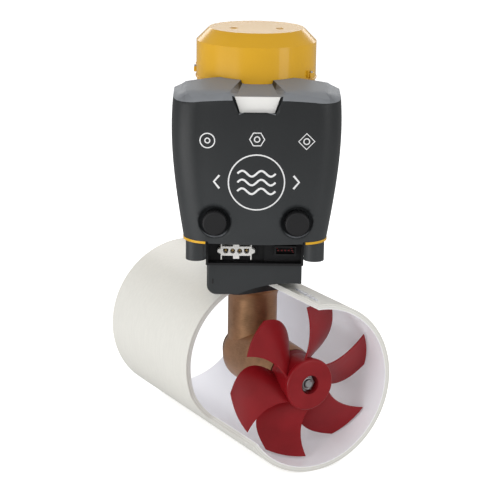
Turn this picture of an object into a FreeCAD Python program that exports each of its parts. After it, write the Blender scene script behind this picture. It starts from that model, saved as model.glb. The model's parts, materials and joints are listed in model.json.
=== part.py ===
"""Electric bow thruster with its thrust tunnel, built piece by piece.

The pieces are modelled in a working frame that has the leg axis as Z and the tunnel axis crossing it
at the origin. One shared placement then puts the origin of the finished part at the centre of the
tunnel's open end. -Y is the side that the control cover faces, and +Z runs up the motor.
"""
import FreeCAD, Part
import Sketcher
import math
import os
import re
from types import SimpleNamespace
from FreeCAD import Placement, Rotation, Vector

SIZES = [
    # tunnel
    ("tunnel_bore", 150.0, "inner diameter of the tunnel"),
    ("tunnel_wall", 5.0, "wall of the tunnel"),
    ("tunnel_tail", 144.7, "from the leg axis to the whole end of the tunnel"),
    ("tunnel_mouth", 118.3, "from the leg axis to the propeller end of the tunnel"),
    ("tunnel_heading", 29.2, "angle between the tunnel axis and the front of the head"),
    ("window_start", 15.0, "from the leg axis to the rear edge of the viewing window"),
    ("window_angle", 124.0, "how far the window reaches round from the top"),
    ("window_corner", 20.0, "corner radius of the window"),
    # tailpiece
    ("leg_radius", 23.6, "outside of the leg"),
    ("flare_radius", 27.0, "flange at the top of the leg"),
    ("flare_foot", 57.0, "level where the leg begins to widen into the flange"),
    ("flare_height", 9.5, "height in which it widens"),
    ("spigot_radius", 17.0, "neck of the leg that passes through the tunnel"),
    ("spigot_top", 90.0, "top of that neck"),
    ("pod_radius", 28.4, "widest radius of the gear pod"),
    ("pod_tail", 35.0, "from the leg axis to the nose behind the leg"),
    ("pod_front", 44.0, "from the leg axis to the pod's open face"),
    ("pod_front_radius", 26.8, "outside of that face"),
    ("pod_bore", 22.5, "radius of the gear chamber"),
    ("chamber_rear", 22.0, "from the leg axis back to the chamber's end wall"),
    ("pinion_room_radius", 16.5, "room round the pinion, above the chamber"),
    ("pinion_room_top", 30.0, "top of that room"),
    ("gasket_sheet", 6.5, "thickness of the rubber between flange and tunnel"),
    ("cap_length", 30.0, "bearing cap in front of the pod"),
    ("cap_front_radius", 24.4, "small end of the bearing cap"),
    ("cap_spigot", 6.0, "length of the cap's spigot inside the pod"),
    ("seat_clearance", 0.05, "radial room of parts that locate one another"),
    ("run_clearance", 0.03, "radial room of a shaft that runs in its bearing"),
    # drive train
    ("prop_shaft_radius", 7.5, "propeller shaft in its front bearing"),
    ("prop_shaft_rear_radius", 5.0, "propeller shaft in its rear bush"),
    ("prop_shaft_rear_end", 29.0, "rear end of the shaft behind the leg axis"),
    ("rear_bush_radius", 9.0, "outside of the rear bush"),
    ("rear_bush_length", 7.0, "length of the rear bush"),
    ("front_bearing_radius", 17.5, "outside of the front bearing"),
    ("front_bearing_width", 11.0, "width of the front bearing"),
    ("seal_radius", 13.0, "outside of the shaft seals"),
    ("seal_width", 6.0, "width of one shaft seal"),
    ("ring_section", 1.5, "half the section of the cap's sealing ring"),
    ("gear_module", 2.2, "tooth size of the bevel pair"),
    ("pinion_teeth", 12, "teeth of the pinion"),
    ("gear_teeth", 18, "teeth of the bevel gear"),
    ("tooth_length", 8.0, "face width of the teeth, along the cone"),
    ("tooth_share", 0.415, "tooth thickness on the pitch cone as a share of the pitch"),
    ("tooth_addendum", 0.75, "height of a tooth over the pitch cone, in modules"),
    ("tooth_dedendum", 1.15, "depth of a tooth under the pitch cone, in modules"),
    ("gear_hub_length", 9.0, "hub behind the gear's teeth"),
    ("pinion_hub_length", 5.0, "hub above the pinion's teeth"),
    ("drive_shaft_radius", 6.0, "drive shaft in the leg"),
    ("drive_shaft_foot", 9.5, "lower end of the drive shaft above the tunnel axis"),
    ("leg_bearing_radius", 14.0, "outside of the leg bearings"),
    ("leg_bearing_width", 8.0, "width of the leg bearings"),
    ("lower_bearing_base", 33.0, "underside of the lower leg bearing"),
    ("upper_bearing_base", 78.0, "underside of the upper leg bearing"),
    # propeller
    ("hub_back", 76.0, "from the leg axis to the back of the propeller hub"),
    ("hub_length", 31.0, "length of the hub"),
    ("hub_radius", 24.4, "outside of the hub's rims"),
    ("hub_waist_radius", 23.0, "outside of the hub between its rims"),
    ("hub_rim", 5.0, "length of each rim"),
    ("hub_edge", 2.2, "rounding of the hub's front edge"),
    ("hub_bore", 6.0, "radius of the hub's bore on the shaft"),
    ("hub_well_radius", 9.0, "radius of the well that holds the nut"),
    ("hub_well_depth", 13.0, "depth of that well"),
    ("blade_count", 6, "propeller blades"),
    ("blade_tip_radius", 72.5, "radius of the blade tips"),
    ("blade_start_angle", 82.0, "first blade, turned from the top of the tunnel"),
    ("blade_root", 16.0, "radius of the root section, inside the hub"),
    ("trail_root_across", 3.9, "trailing edge from the blade's middle line, at the root"),
    ("trail_mid_across", 22.3, "the same at half span"),
    ("trail_tip_across", 7.1, "the same at the tip"),
    ("trail_root_along", 2.8, "trailing edge forward of the hub's back, at the root"),
    ("trail_mid_along", -0.5, "the same at half span"),
    ("trail_tip_along", 11.1, "the same at the tip"),
    ("lead_root_across", -13.5, "leading edge from the blade's middle line, at the root"),
    ("lead_mid_across", -13.9, "the same at half span"),
    ("lead_tip_across", -34.5, "the same at the tip"),
    ("lead_root_along", 27.6, "leading edge forward of the hub's back, at the root"),
    ("lead_mid_along", 22.5, "the same at half span"),
    ("lead_tip_along", 25.4, "the same at the tip"),
    ("blade_root_thickness", 5.0, "blade thickness at the hub"),
    ("blade_tip_thickness", 2.4, "blade thickness at the tip"),
    ("blade_edge_thickness", 1.2, "thickness of the blade's edges"),
    ("nut_flats", 13.0, "width across flats of the propeller nut"),
    ("nut_height", 6.5, "height of the propeller nut"),
    ("washer_thickness", 1.6, "thickness of the washer under it"),
    ("stud_end_radius", 4.0, "threaded end of the propeller shaft"),
    ("pin_radius", 2.5, "drive pin"),
    ("pin_length", 26.0, "length of the drive pin"),
    ("pin_station", 5.0, "drive pin's axis forward of the hub's back"),
    # base housing, bracket and plate
    ("saddle_gap", 7.0, "thickness of the rubber between tunnel and base housing"),
    ("saddle_ring_radius", 34.0, "outside of that rubber ring"),
    ("base_bottom", 75.5, "lowest level of the base housing"),
    ("base_top", 105.0, "top of the base housing"),
    ("base_half_width", 43.7, "half the width of base housing and bracket"),
    ("base_front", 60.0, "front face of the base housing"),
    ("base_back", 52.0, "rear face of the base housing"),
    ("base_corner", 9.0, "rounding of the base housing's lower edges"),
    ("well_radius", 31.0, "coupling well"),
    ("well_floor", 94.0, "floor of the coupling well"),
    ("bracket_top", 131.0, "top of the motor bracket"),
    ("bracket_front", 40.0, "front face of the motor bracket"),
    ("plate_thickness", 2.2, "motor plate"),
    ("plate_lip", 0.6, "how far the plate stands out from under the cover"),
    ("leg_bolt_circle", 20.0, "radius of the leg bolts' circle"),
    ("leg_bolt_radius", 2.5, "leg bolts"),
    ("leg_bolt_count", 4, "leg bolts"),
    ("leg_bolt_foot", 60.0, "lower end of the leg bolts"),
    ("bracket_bolt_radius", 3.0, "bolts from the bracket into the base housing"),
    ("bracket_bolt_inset", 7.2, "bracket bolts in from the side of the housing"),
    ("bracket_bolt_y", 22.0, "bracket bolts from the leg axis, fore and aft"),
    ("bracket_bolt_foot", 90.0, "lower end of the bracket bolts"),
    ("bolt_head_ratio", 1.7, "bolt head radius over bolt radius"),
    # motor
    ("plate_bolt_radius", 2.5, "countersunk screws from the plate into the bracket"),
    ("plate_bolt_inset", 4.5, "those screws in from the side of the bracket"),
    ("plate_bolt_front", 35.0, "the front pair, forward of the leg axis"),
    ("plate_bolt_back", 47.5, "the rear pair, behind the leg axis"),
    ("plate_bolt_length", 15.0, "length of those screws"),
    ("motor_screw_circle", 25.5, "radius of the circle of screws from the plate into the motor"),
    ("motor_screw_count", 4, "screws from the plate into the motor"),
    ("motor_radius", 55.4, "outside of the end cap and end shield"),
    ("motor_tube_step", 0.6, "step in from the end cap's outside to the motor tube"),
    ("motor_tube_wall", 3.6, "wall of the motor tube"),
    ("motor_top", 315.2, "top of the motor"),
    ("motor_cap_height", 44.7, "height of the end cap"),
    ("motor_cap_wall", 4.0, "wall of the end cap"),
    ("motor_cap_chamfer", 11.5, "slope round the motor's top"),
    ("shield_thickness", 6.0, "floor of the drive-end shield"),
    ("shield_height", 16.0, "height of the drive-end shield"),
    ("motor_shaft_radius", 8.5, "motor shaft in the lower bearing"),
    ("motor_shaft_top_radius", 6.0, "motor shaft in the upper bearing"),
    ("motor_shaft_step", 0.5, "motor shaft's end above the jaws of the upper coupling"),
    ("lower_motor_bearing_radius", 20.0, "outside of the lower motor bearing"),
    ("lower_motor_bearing_width", 12.0, "width of the lower motor bearing"),
    ("upper_motor_bearing_radius", 16.0, "outside of the upper motor bearing"),
    ("upper_motor_bearing_width", 10.0, "width of the upper motor bearing"),
    ("core_radius", 34.0, "armature core"),
    ("core_base", 168.0, "lower end of the core"),
    ("core_length", 70.0, "length of the core"),
    ("core_slots", 12, "slots in the core"),
    ("slot_width", 6.0, "width of a slot"),
    ("slot_depth", 12.0, "depth of a slot"),
    ("winding_height", 12.0, "height of the end turns"),
    ("winding_radius", 31.0, "outside of the end turns"),
    ("magnet_count", 4, "field magnets"),
    ("magnet_angle", 66.0, "angle that a magnet covers"),
    ("air_gap", 1.0, "between core and magnets"),
    ("commutator_radius", 22.0, "commutator"),
    ("commutator_gap", 2.0, "between the end turns and the commutator"),
    ("commutator_length", 26.0, "length of the commutator"),
    ("commutator_bars", 24, "bars of the commutator"),
    ("brush_plate_rise", 12.0, "underside of the brush plate above the commutator's foot"),
    ("brush_plate_thickness", 3.0, "brush plate"),
    ("brush_width", 9.0, "brush, across"),
    ("brush_height", 10.0, "brush, up"),
    ("brush_length", 14.0, "brush, radially"),
    ("brush_gap", 0.1, "between brush and commutator"),
    ("spring_length", 9.0, "brush spring, radially"),
    # coupling
    ("coupling_radius", 19.0, "outside of the jaw coupling"),
    ("coupling_base", 100.0, "underside of the lower half"),
    ("coupling_half", 9.0, "height of each half's hub"),
    ("jaw_height", 8.0, "height of the jaws"),
    ("jaw_inner", 9.5, "inner radius of the jaws"),
    ("jaw_angle", 40.0, "angle of one jaw"),
    # control cover
    ("cover_front", 90.0, "front of the cover at its middle"),
    ("cover_back", 45.0, "open back of the cover"),
    ("cover_wall", 3.0, "wall of the cover"),
    ("cover_bow", 4.0, "bow of the front face"),
    ("cover_corner", 24.0, "rounding of the cover's upright corners"),
    ("cover_foot_half", 65.0, "half width at the foot"),
    ("cover_low_half", 72.2, "half width at the lower station"),
    ("cover_low_level", 178.0, "lower station"),
    ("cover_wide_half", 76.3, "half width where it is widest"),
    ("cover_wide_level", 229.0, "level where it is widest"),
    ("cover_top_half", 71.5, "half width at the top"),
    ("cover_top_front", 263.0, "top of the front face"),
    ("cover_top_rise", 11.0, "rise of the top from front to back"),
    ("cover_crown", 8.0, "fall of the top from the middle to the sides"),
    ("cover_lip", 1.8, "how far the cover's middle hangs below its foot"),
    ("notch_top_half", 24.5, "half width of the notch in the top"),
    ("notch_foot_half", 16.0, "half width of the notch at its foot"),
    ("notch_height", 11.0, "height of the notch on the front face"),
    ("notch_depth", 5.0, "how far the notch sinks into the front face"),
    ("plaque_thickness", 1.6, "bare plaque in the notch"),
    ("plaque_margin", 1.6, "notch shown beside the plaque"),
    ("knob_x", 37.0, "knobs from the middle of the cover"),
    ("knob_level", 152.0, "knobs above the tunnel axis"),
    ("knob_radius", 10.7, "knob"),
    ("knob_length", 13.0, "length of a knob's grip"),
    ("knob_stem_radius", 5.5, "threaded stem of a knob"),
    ("pocket_radius", 14.5, "pocket round a knob"),
    ("pocket_depth", 5.0, "depth of that pocket"),
    ("stud_radius", 3.0, "stud that a knob screws on"),
    ("captive_radius", 8.0, "captive washer behind the cover"),
    ("captive_thickness", 1.2, "captive washer"),
    ("knob_travel", 6.0, "how far a knob backs off before its captive washer stops it"),
    # controls
    ("panel_front", 64.0, "front of the connector panel"),
    ("panel_wall", 2.0, "rim of the connector panel"),
    ("panel_recess", 10.0, "depth of its recess"),
    ("connector_x", -17.0, "control connector, sideways"),
    ("connector_level", 118.5, "middle of the connectors"),
    ("connector_pitch", 6.35, "pitch of the control connector's contacts"),
    ("connector_ways", 4, "contacts of the control connector"),
    ("connector_height", 8.6, "height of its housing"),
    ("connector_well", 2.4, "radius of its wells"),
    ("contact_radius", 0.9, "contact pins"),
    ("aux_x", 28.0, "second connector, sideways"),
    ("aux_width", 20.0, "width of the second connector"),
    ("aux_height", 9.0, "height of the second connector"),
    ("spout_x", 53.6, "cable spouts, sideways"),
    ("spout_y", 72.0, "cable spouts, forward"),
    ("spout_radius", 9.3, "outside of a spout"),
    ("spout_bore", 7.0, "bore of a spout"),
    ("spout_foot", 113.6, "lower end of a spout"),
    ("sheet_thickness", 2.0, "sheet metal of the control frame"),
    ("frame_front", 64.0, "front of the control frame"),
    ("frame_half_width", 48.0, "half width of its lower wall"),
    ("frame_panel_half", 28.0, "half width of its upper panel"),
    ("frame_top", 250.0, "top of the upper panel"),
    ("shelf_level", 172.0, "underside of the contactor shelf"),
    ("shelf_half_width", 63.0, "half width of the shelf"),
    ("shelf_front", 79.0, "front edge of the shelf"),
    ("contactor_x", 47.0, "contactors, sideways"),
    ("contactor_y", 63.0, "contactors, forward"),
    ("contactor_radius", 15.0, "contactor can"),
    ("contactor_length", 52.0, "contactor can"),
    ("post_radius", 4.0, "battery posts"),
    ("post_length", 14.0, "battery posts under the shelf"),
    ("strap_thickness", 2.0, "copper strap"),
    ("board_half_width", 24.0, "control board"),
    ("board_base", 178.0, "lower edge of the board"),
    ("board_length", 64.0, "height of the board"),
    ("board_thickness", 1.6, "control board"),
    ("board_standoff", 5.0, "spacers behind the board"),
]

dim = SimpleNamespace(**{name: value for name, value, meaning in SIZES})

doc = FreeCAD.newDocument("bow_thruster")
sheet = doc.addObject("Spreadsheet::Sheet", "sizes")
for row, (name, value, meaning) in enumerate(SIZES, start=1):
    sheet.set(f"A{row}", meaning)
    sheet.set(f"B{row}", str(value))
    sheet.setAlias(f"B{row}", name)
doc.recompute()

UP = Vector(0, 0, 1)
heading = math.radians(dim.tunnel_heading)
AHEAD = Vector(math.sin(heading), -math.cos(heading), 0)
ASIDE = Vector(math.cos(heading), math.sin(heading), 0)
head_place = Placement(AHEAD * dim.tunnel_tail, Rotation())
tunnel_place = Placement(head_place.Base, Rotation(ASIDE, UP, AHEAD, "ZXY"))
tunnel_radius = dim.tunnel_bore / 2 + dim.tunnel_wall
subparts = []


def bound(text):
    """Turns the names of sizes in a formula into references to the sheet."""
    return re.sub(r"[a-z]\w*", lambda word: "sizes." + word.group() if hasattr(dim, word.group())
                  else word.group(), text)


def finish(thing, label, place):
    """Names a finished sub-part and puts it in the part's frame."""
    thing.Label = label
    thing.Placement = place
    subparts.append(thing)
    return thing


def shape_part(label, shape, place=head_place):
    feature = doc.addObject("Part::Feature", label)
    feature.Shape = shape
    return finish(feature, label, place)


# ---- sketches and features of a PartDesign body --------------------------------------------------

def new_body(label):
    return doc.addObject("PartDesign::Body", label)


def new_sketch(body, role, level="0"):
    sketch = body.newObject("Sketcher::SketchObject", body.Name + "_sketch")
    plane = [item for item in body.Origin.OriginFeatures if item.Role == role][0]
    sketch.AttachmentSupport = [(plane, "")]
    sketch.MapMode = "FlatFace"
    sketch.setExpression("AttachmentOffset.Base.z", bound(level))
    return sketch


def tie(sketch, kind, index, position, formula):
    number = sketch.addConstraint(Sketcher.Constraint(kind, -1, 1, index, position, 1.0))
    sketch.setExpression(f"Constraints[{number}]", bound(formula))


def outline(body, role, corners, level="0"):
    """A straight-sided closed sketch whose corners are pairs of formulas."""
    sketch = new_sketch(body, role, level)
    count = len(corners)
    for index in range(count):
        start = Vector(20 + index, 30 + index * index, 0)
        after = (index + 1) % count
        sketch.addGeometry(Part.LineSegment(start, Vector(20 + after, 30 + after * after, 0)))
    for index, (across, along) in enumerate(corners):
        sketch.addConstraint(Sketcher.Constraint("Coincident", index, 2, (index + 1) % count, 1))
        tie(sketch, "DistanceX", index, 1, across)
        tie(sketch, "DistanceY", index, 1, along)
    return sketch


def rings(body, role, circles, level="0"):
    """A sketch of circles, each given as formulas of centre and radius."""
    sketch = new_sketch(body, role, level)
    for index, (across, along, radius) in enumerate(circles):
        sketch.addGeometry(Part.Circle(Vector(1, 1, 0), UP, 1.0))
        tie(sketch, "DistanceX", index, 3, across)
        tie(sketch, "DistanceY", index, 3, along)
        number = sketch.addConstraint(Sketcher.Constraint("Radius", index, 1.0))
        sketch.setExpression(f"Constraints[{number}]", bound(radius))
    return sketch


def pad(body, sketch, length, both_ways=False):
    feature = body.newObject("PartDesign::Pad", body.Name + "_pad")
    feature.Profile = sketch
    feature.Midplane = both_ways
    feature.setExpression("Length", bound(length))
    return feature


def pocket(body, sketch, length=None, towards_sketch_normal=True):
    feature = body.newObject("PartDesign::Pocket", body.Name + "_pocket")
    feature.Profile = sketch
    feature.Reversed = towards_sketch_normal
    if length is None:
        feature.Type = "ThroughAll"
    else:
        feature.setExpression("Length", bound(length))
    return feature


def repeat(body, feature, count, sketch):
    pattern = body.newObject("PartDesign::PolarPattern", body.Name + "_pattern")
    pattern.Originals = [feature]
    pattern.Axis = (sketch, ["N_Axis"])
    pattern.Angle = 360
    pattern.setExpression("Occurrences", bound(count))
    body.Tip = pattern
    return pattern


def turned(label, corners, place=head_place):
    """A turned piece: corners are formulas of radius and height."""
    body = new_body(label)
    sketch = outline(body, "XZ_Plane", corners)
    feature = body.newObject("PartDesign::Revolution", label + "_turn")
    feature.Profile = sketch
    feature.ReferenceAxis = (sketch, ["V_Axis"])
    feature.Angle = 360
    if place is not None:
        finish(body, label, place)
    return body


def ring(label, inner, outer, base, height, place=head_place):
    return turned(label, [(inner, base), (outer, base), (outer, f"{base} + {height}"),
                          (inner, f"{base} + {height}")], place)


# ---- plain solids for shapes that no sketch fits -------------------------------------------------

def rod(radius, length, base=Vector(), axis=UP):
    return Part.makeCylinder(radius, length, base, axis)


def tube(inner, outer, length, base=Vector(), axis=UP):
    return rod(outer, length, base, axis).cut(rod(inner, length, base, axis))


def block(low, high):
    return Part.makeBox(high.x - low.x, high.y - low.y, high.z - low.z, low)


def sector(inner, outer, base, height, middle, angle):
    """A ring sector round Z whose middle points at the given angle."""
    piece = Part.makeCylinder(outer, height, Vector(0, 0, base), UP, angle)
    piece.rotate(Vector(), UP, middle - angle / 2)
    return piece.cut(rod(inner, height, Vector(0, 0, base)))


def polygon(points):
    return Part.makePolygon(points + points[:1])


def bolt(radius, foot, head_base, centre, head_height=None):
    """A bolt pointing down, with a round socket head."""
    head_radius = radius * dim.bolt_head_ratio
    height = head_height or 2 * radius
    shank = rod(radius, head_base - foot, Vector(centre.x, centre.y, foot))
    head = rod(head_radius, height, Vector(centre.x, centre.y, head_base))
    socket = rod(radius, height / 2, Vector(centre.x, centre.y, head_base + height / 2))
    return shank.fuse(head.cut(socket))


def round_the_leg(count, radius, start=45.0):
    """Points on a circle round the leg axis, the first one at the start angle from +X."""
    for index in range(int(count)):
        angle = math.radians(start + 360.0 * index / count)
        yield Vector(radius * math.cos(angle), radius * math.sin(angle), 0)


def tunnel_cylinder(radius):
    """A long cylinder on the tunnel axis, in the working frame."""
    reach = 2 * dim.tunnel_tail
    return rod(radius, 2 * reach, AHEAD * -reach, AHEAD)


# ---- tunnel and its seat -------------------------------------------------------------------------

def make_tunnel():
    """The tube with its viewing window; the window's lower rear corner is rounded."""
    wall = tube(dim.tunnel_bore / 2, tunnel_radius, dim.tunnel_tail + dim.tunnel_mouth,
                Vector(0, 0, -dim.tunnel_tail))
    past = dim.tunnel_mouth + 1
    corner_angle = math.degrees(dim.window_corner / tunnel_radius)
    corner_end = dim.window_start + dim.window_corner
    low_edge = 90 + dim.window_angle
    full = sector(1, tunnel_radius + 1, corner_end, past - corner_end, 90 + dim.window_angle / 2,
                  dim.window_angle)
    short_angle = dim.window_angle - corner_angle
    short = sector(1, tunnel_radius + 1, dim.window_start, past - dim.window_start,
                   90 + short_angle / 2, short_angle)
    corner_way = math.radians(low_edge - corner_angle)
    outward = Vector(math.cos(corner_way), math.sin(corner_way), 0)
    rounding = rod(dim.window_corner, tunnel_radius, Vector(0, 0, corner_end) + outward, outward)
    wall = wall.cut(full.fuse(short).fuse(rounding))
    leg_hole = rod(dim.spigot_radius + dim.seat_clearance, 2 * tunnel_radius, Vector(), Vector(0, 1, 0))
    wall = wall.cut(leg_hole)
    for centre in round_the_leg(dim.leg_bolt_count, dim.leg_bolt_circle):
        across = Vector(centre.dot(ASIDE), 0, centre.dot(AHEAD))
        wall = wall.cut(rod(dim.leg_bolt_radius + dim.seat_clearance, 2 * tunnel_radius, across,
                            Vector(0, 1, 0)))
    return shape_part("thrust_tunnel", wall, tunnel_place)


def drilled_for_leg_bolts(shape, radius=None):
    """Takes the leg bolts' clearance holes out of a shape."""
    hole_radius = radius or dim.leg_bolt_radius + dim.seat_clearance
    for centre in round_the_leg(dim.leg_bolt_count, dim.leg_bolt_circle):
        foot = Vector(centre.x, centre.y, dim.leg_bolt_foot)
        shape = shape.cut(rod(hole_radius, dim.base_top, foot))
    return shape


def make_saddle_gasket():
    """The moulded rubber ring between the tunnel and the base housing."""
    layer = tunnel_cylinder(tunnel_radius + dim.saddle_gap).cut(tunnel_cylinder(tunnel_radius))
    ring_blank = tube(dim.spigot_radius + dim.seat_clearance, dim.saddle_ring_radius, dim.base_top)
    return shape_part("saddle_gasket", drilled_for_leg_bolts(ring_blank.common(layer)))


def make_leg_gasket():
    layer = tunnel_cylinder(dim.tunnel_bore / 2).cut(
        tunnel_cylinder(dim.tunnel_bore / 2 - dim.gasket_sheet))
    ring_blank = tube(dim.spigot_radius + dim.seat_clearance, dim.flare_radius, dim.base_top)
    return shape_part("leg_gasket", drilled_for_leg_bolts(ring_blank.common(layer)))


def make_base_housing():
    """The moulded housing on the tunnel: a block with rounded lower edges, hollowed to the tunnel."""
    body = new_body("base_block")
    front = outline(body, "XZ_Plane", [
        ("-base_half_width", "base_bottom"), ("base_half_width", "base_bottom"),
        ("base_half_width", "base_top"), ("-base_half_width", "base_top")], "-base_back")
    pad(body, front, "base_front + base_back")
    doc.recompute()
    shape = body.Shape.copy()
    sides = [edge for edge in shape.Edges if abs(edge.Length - dim.base_front - dim.base_back) < 0.01
             and edge.CenterOfMass.z < dim.base_bottom + 1]
    shape = shape.makeFillet(dim.base_corner, sides)
    uprights = [edge for edge in shape.Edges
                if abs(edge.Length - (dim.base_top - dim.base_bottom - dim.base_corner)) < 0.01]
    shape = shape.makeFillet(dim.base_corner / 4, uprights)
    shape = shape.cut(tunnel_cylinder(tunnel_radius + dim.saddle_gap))
    shape = shape.cut(rod(dim.well_radius, dim.base_top, Vector(0, 0, dim.well_floor)))
    shape = shape.cut(rod(dim.spigot_radius + dim.seat_clearance, dim.base_top))
    shape = drilled_for_leg_bolts(shape)
    for centre in bracket_bolt_centres():
        shape = shape.cut(rod(dim.bracket_bolt_radius + dim.seat_clearance, dim.base_top,
                              centre + UP * dim.bracket_bolt_foot))
    return shape_part("base_housing", shape)


def bracket_bolt_centres():
    reach = dim.base_half_width - dim.bracket_bolt_inset
    for across in (-reach, reach):
        for along in (-dim.bracket_bolt_y, dim.bracket_bolt_y):
            yield Vector(across, along, 0)


def make_motor_bracket():
    """The spacer between base housing and motor plate; its front leaves room for the connectors."""
    body = new_body("bracket_block")
    plan = outline(body, "XY_Plane", [
        ("-base_half_width", "-bracket_front"), ("base_half_width", "-bracket_front"),
        ("base_half_width", "base_back"), ("-base_half_width", "base_back")], "base_top")
    pad(body, plan, "bracket_top - base_top")
    well = rings(body, "XY_Plane", [("0", "0", "well_radius")], "base_top")
    pocket(body, well, "bracket_top - base_top")
    corners = [(across, along, "bracket_bolt_radius + seat_clearance")
               for across in ("bracket_bolt_inset - base_half_width",
                              "base_half_width - bracket_bolt_inset")
               for along in ("-bracket_bolt_y", "bracket_bolt_y")]
    pocket(body, rings(body, "XY_Plane", corners, "base_top"), "bracket_top - base_top")
    heads = [(across, along, "bracket_bolt_radius * bolt_head_ratio + seat_clearance")
             for across, along, radius in corners]
    pocket(body, rings(body, "XY_Plane", heads, "bracket_top"), "2 * bracket_bolt_radius",
           towards_sketch_normal=False)
    threads = [(across, along, "plate_bolt_radius")
               for across in ("plate_bolt_inset - base_half_width",
                              "base_half_width - plate_bolt_inset")
               for along in ("-plate_bolt_front", "plate_bolt_back")]
    pocket(body, rings(body, "XY_Plane", threads, "bracket_top"), "plate_bolt_length",
           towards_sketch_normal=False)
    return finish(body, "motor_bracket", head_place)


def make_bolts():
    leg = [bolt(dim.leg_bolt_radius, dim.leg_bolt_foot, dim.well_floor, centre)
           for centre in round_the_leg(dim.leg_bolt_count, dim.leg_bolt_circle)]
    shape_part("leg_bolts", Part.makeCompound(leg))
    head_base = dim.bracket_top - 2 * dim.bracket_bolt_radius
    bracket = [bolt(dim.bracket_bolt_radius, dim.bracket_bolt_foot, head_base, centre)
               for centre in bracket_bolt_centres()]
    shape_part("bracket_bolts", Part.makeCompound(bracket))


# ---- tailpiece -----------------------------------------------------------------------------------

def make_tailpiece():
    """The cast leg with its flared top and gear pod."""
    top = tunnel_cylinder(dim.tunnel_bore / 2 - dim.gasket_sheet)
    flare_top = dim.flare_foot + dim.flare_height
    flare_start = Vector(dim.leg_radius, 0, dim.flare_foot)
    flare_middle = Vector(dim.leg_radius + 0.29 * (dim.flare_radius - dim.leg_radius), 0,
                          dim.flare_foot + 0.6 * dim.flare_height)
    flare_end = Vector(dim.flare_radius, 0, flare_top)
    flare = Part.Arc(flare_start, flare_middle, flare_end).toShape()
    corners = [flare_end, Vector(dim.flare_radius, 0, dim.base_top), Vector(0, 0, dim.base_top),
               Vector(), Vector(dim.leg_radius, 0, 0), flare_start]
    sides = [Part.makeLine(start, end) for start, end in zip(corners, corners[1:])]
    leg = Part.Face(Part.Wire([flare] + sides)).revolve(Vector(), UP, 360).common(top)
    leg = leg.fuse(rod(dim.spigot_radius, dim.spigot_top))
    shoulder = dim.pod_radius * 0.16
    nose = Part.BSplineCurve()
    nose.interpolate([
        Vector(0, 0, -dim.pod_tail), Vector(dim.pod_radius * 0.55, 0, -dim.pod_tail * 0.83),
        Vector(dim.pod_radius - shoulder, 0, -dim.pod_tail * 0.42), Vector(dim.pod_radius, 0, 0)],
        InitialTangent=Vector(1, 0, 0), FinalTangent=Vector(0, 0, 1))
    taper_drop = dim.pod_radius - dim.pod_front_radius
    taper = Part.Arc(Vector(dim.pod_radius, 0, 0),
                     Vector(dim.pod_radius - taper_drop / 4, 0, dim.pod_front / 2),
                     Vector(dim.pod_front_radius, 0, dim.pod_front)).toShape()
    front = Part.makeLine(Vector(dim.pod_front_radius, 0, dim.pod_front), Vector(0, 0, dim.pod_front))
    axis = Part.makeLine(Vector(0, 0, dim.pod_front), Vector(0, 0, -dim.pod_tail))
    pod = Part.Face(Part.Wire([nose.toShape(), taper, front, axis])).revolve(Vector(), UP, 360)
    pod.Placement = Placement(Vector(), tunnel_place.Rotation)
    chamber_start = AHEAD * -dim.chamber_rear
    chamber = rod(dim.pod_bore, dim.chamber_rear + dim.pod_front, chamber_start, AHEAD)
    bush_seat = rod(dim.rear_bush_radius, dim.rear_bush_length, chamber_start
                    - AHEAD * dim.rear_bush_length, AHEAD)
    shape = leg.fuse(pod).cut(chamber).cut(bush_seat)
    shape = shape.cut(rod(dim.leg_bearing_radius, dim.base_top))
    shape = shape.cut(rod(dim.pinion_room_radius, dim.pinion_room_top))
    return shape_part("tailpiece", drilled_for_leg_bolts(shape, dim.leg_bolt_radius))


def make_bearing_cap():
    """Closes the pod and carries the front bearing, its seals and a sealing ring."""
    bearing_back = "pod_front - cap_spigot"
    bearing_front = f"{bearing_back} + front_bearing_width"
    seal_end = f"{bearing_front} + 2 * seal_width"
    groove_back = "pod_front - cap_spigot / 2 - ring_section - seat_clearance"
    groove_front = "pod_front - cap_spigot / 2 + ring_section + seat_clearance"
    groove_floor = "pod_bore - 2 * ring_section - 2 * seat_clearance"
    turned("bearing_cap", [
        ("front_bearing_radius", bearing_back),
        ("pod_bore - seat_clearance", bearing_back),
        ("pod_bore - seat_clearance", groove_back),
        (groove_floor, groove_back),
        (groove_floor, groove_front),
        ("pod_bore - seat_clearance", groove_front),
        ("pod_bore - seat_clearance", "pod_front"),
        ("pod_front_radius", "pod_front"),
        ("cap_front_radius + 1.2", "pod_front + cap_length * 0.75"),
        ("cap_front_radius", "pod_front + cap_length"),
        ("prop_shaft_radius + 0.5", "pod_front + cap_length"),
        ("prop_shaft_radius + 0.5", seal_end),
        ("seal_radius", seal_end),
        ("seal_radius", bearing_front),
        ("front_bearing_radius", bearing_front)], tunnel_place)
    ring("cap_ring", "pod_bore - 2 * ring_section - seat_clearance", "pod_bore - seat_clearance",
         "pod_front - cap_spigot / 2 - ring_section", "2 * ring_section", tunnel_place)
    seals = [tube(dim.prop_shaft_radius + dim.run_clearance, dim.seal_radius, dim.seal_width,
                  Vector(0, 0, dim.pod_front - dim.cap_spigot + dim.front_bearing_width
                         + index * dim.seal_width)) for index in range(2)]
    shape_part("shaft_seals", Part.makeCompound(seals), tunnel_place)


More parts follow.
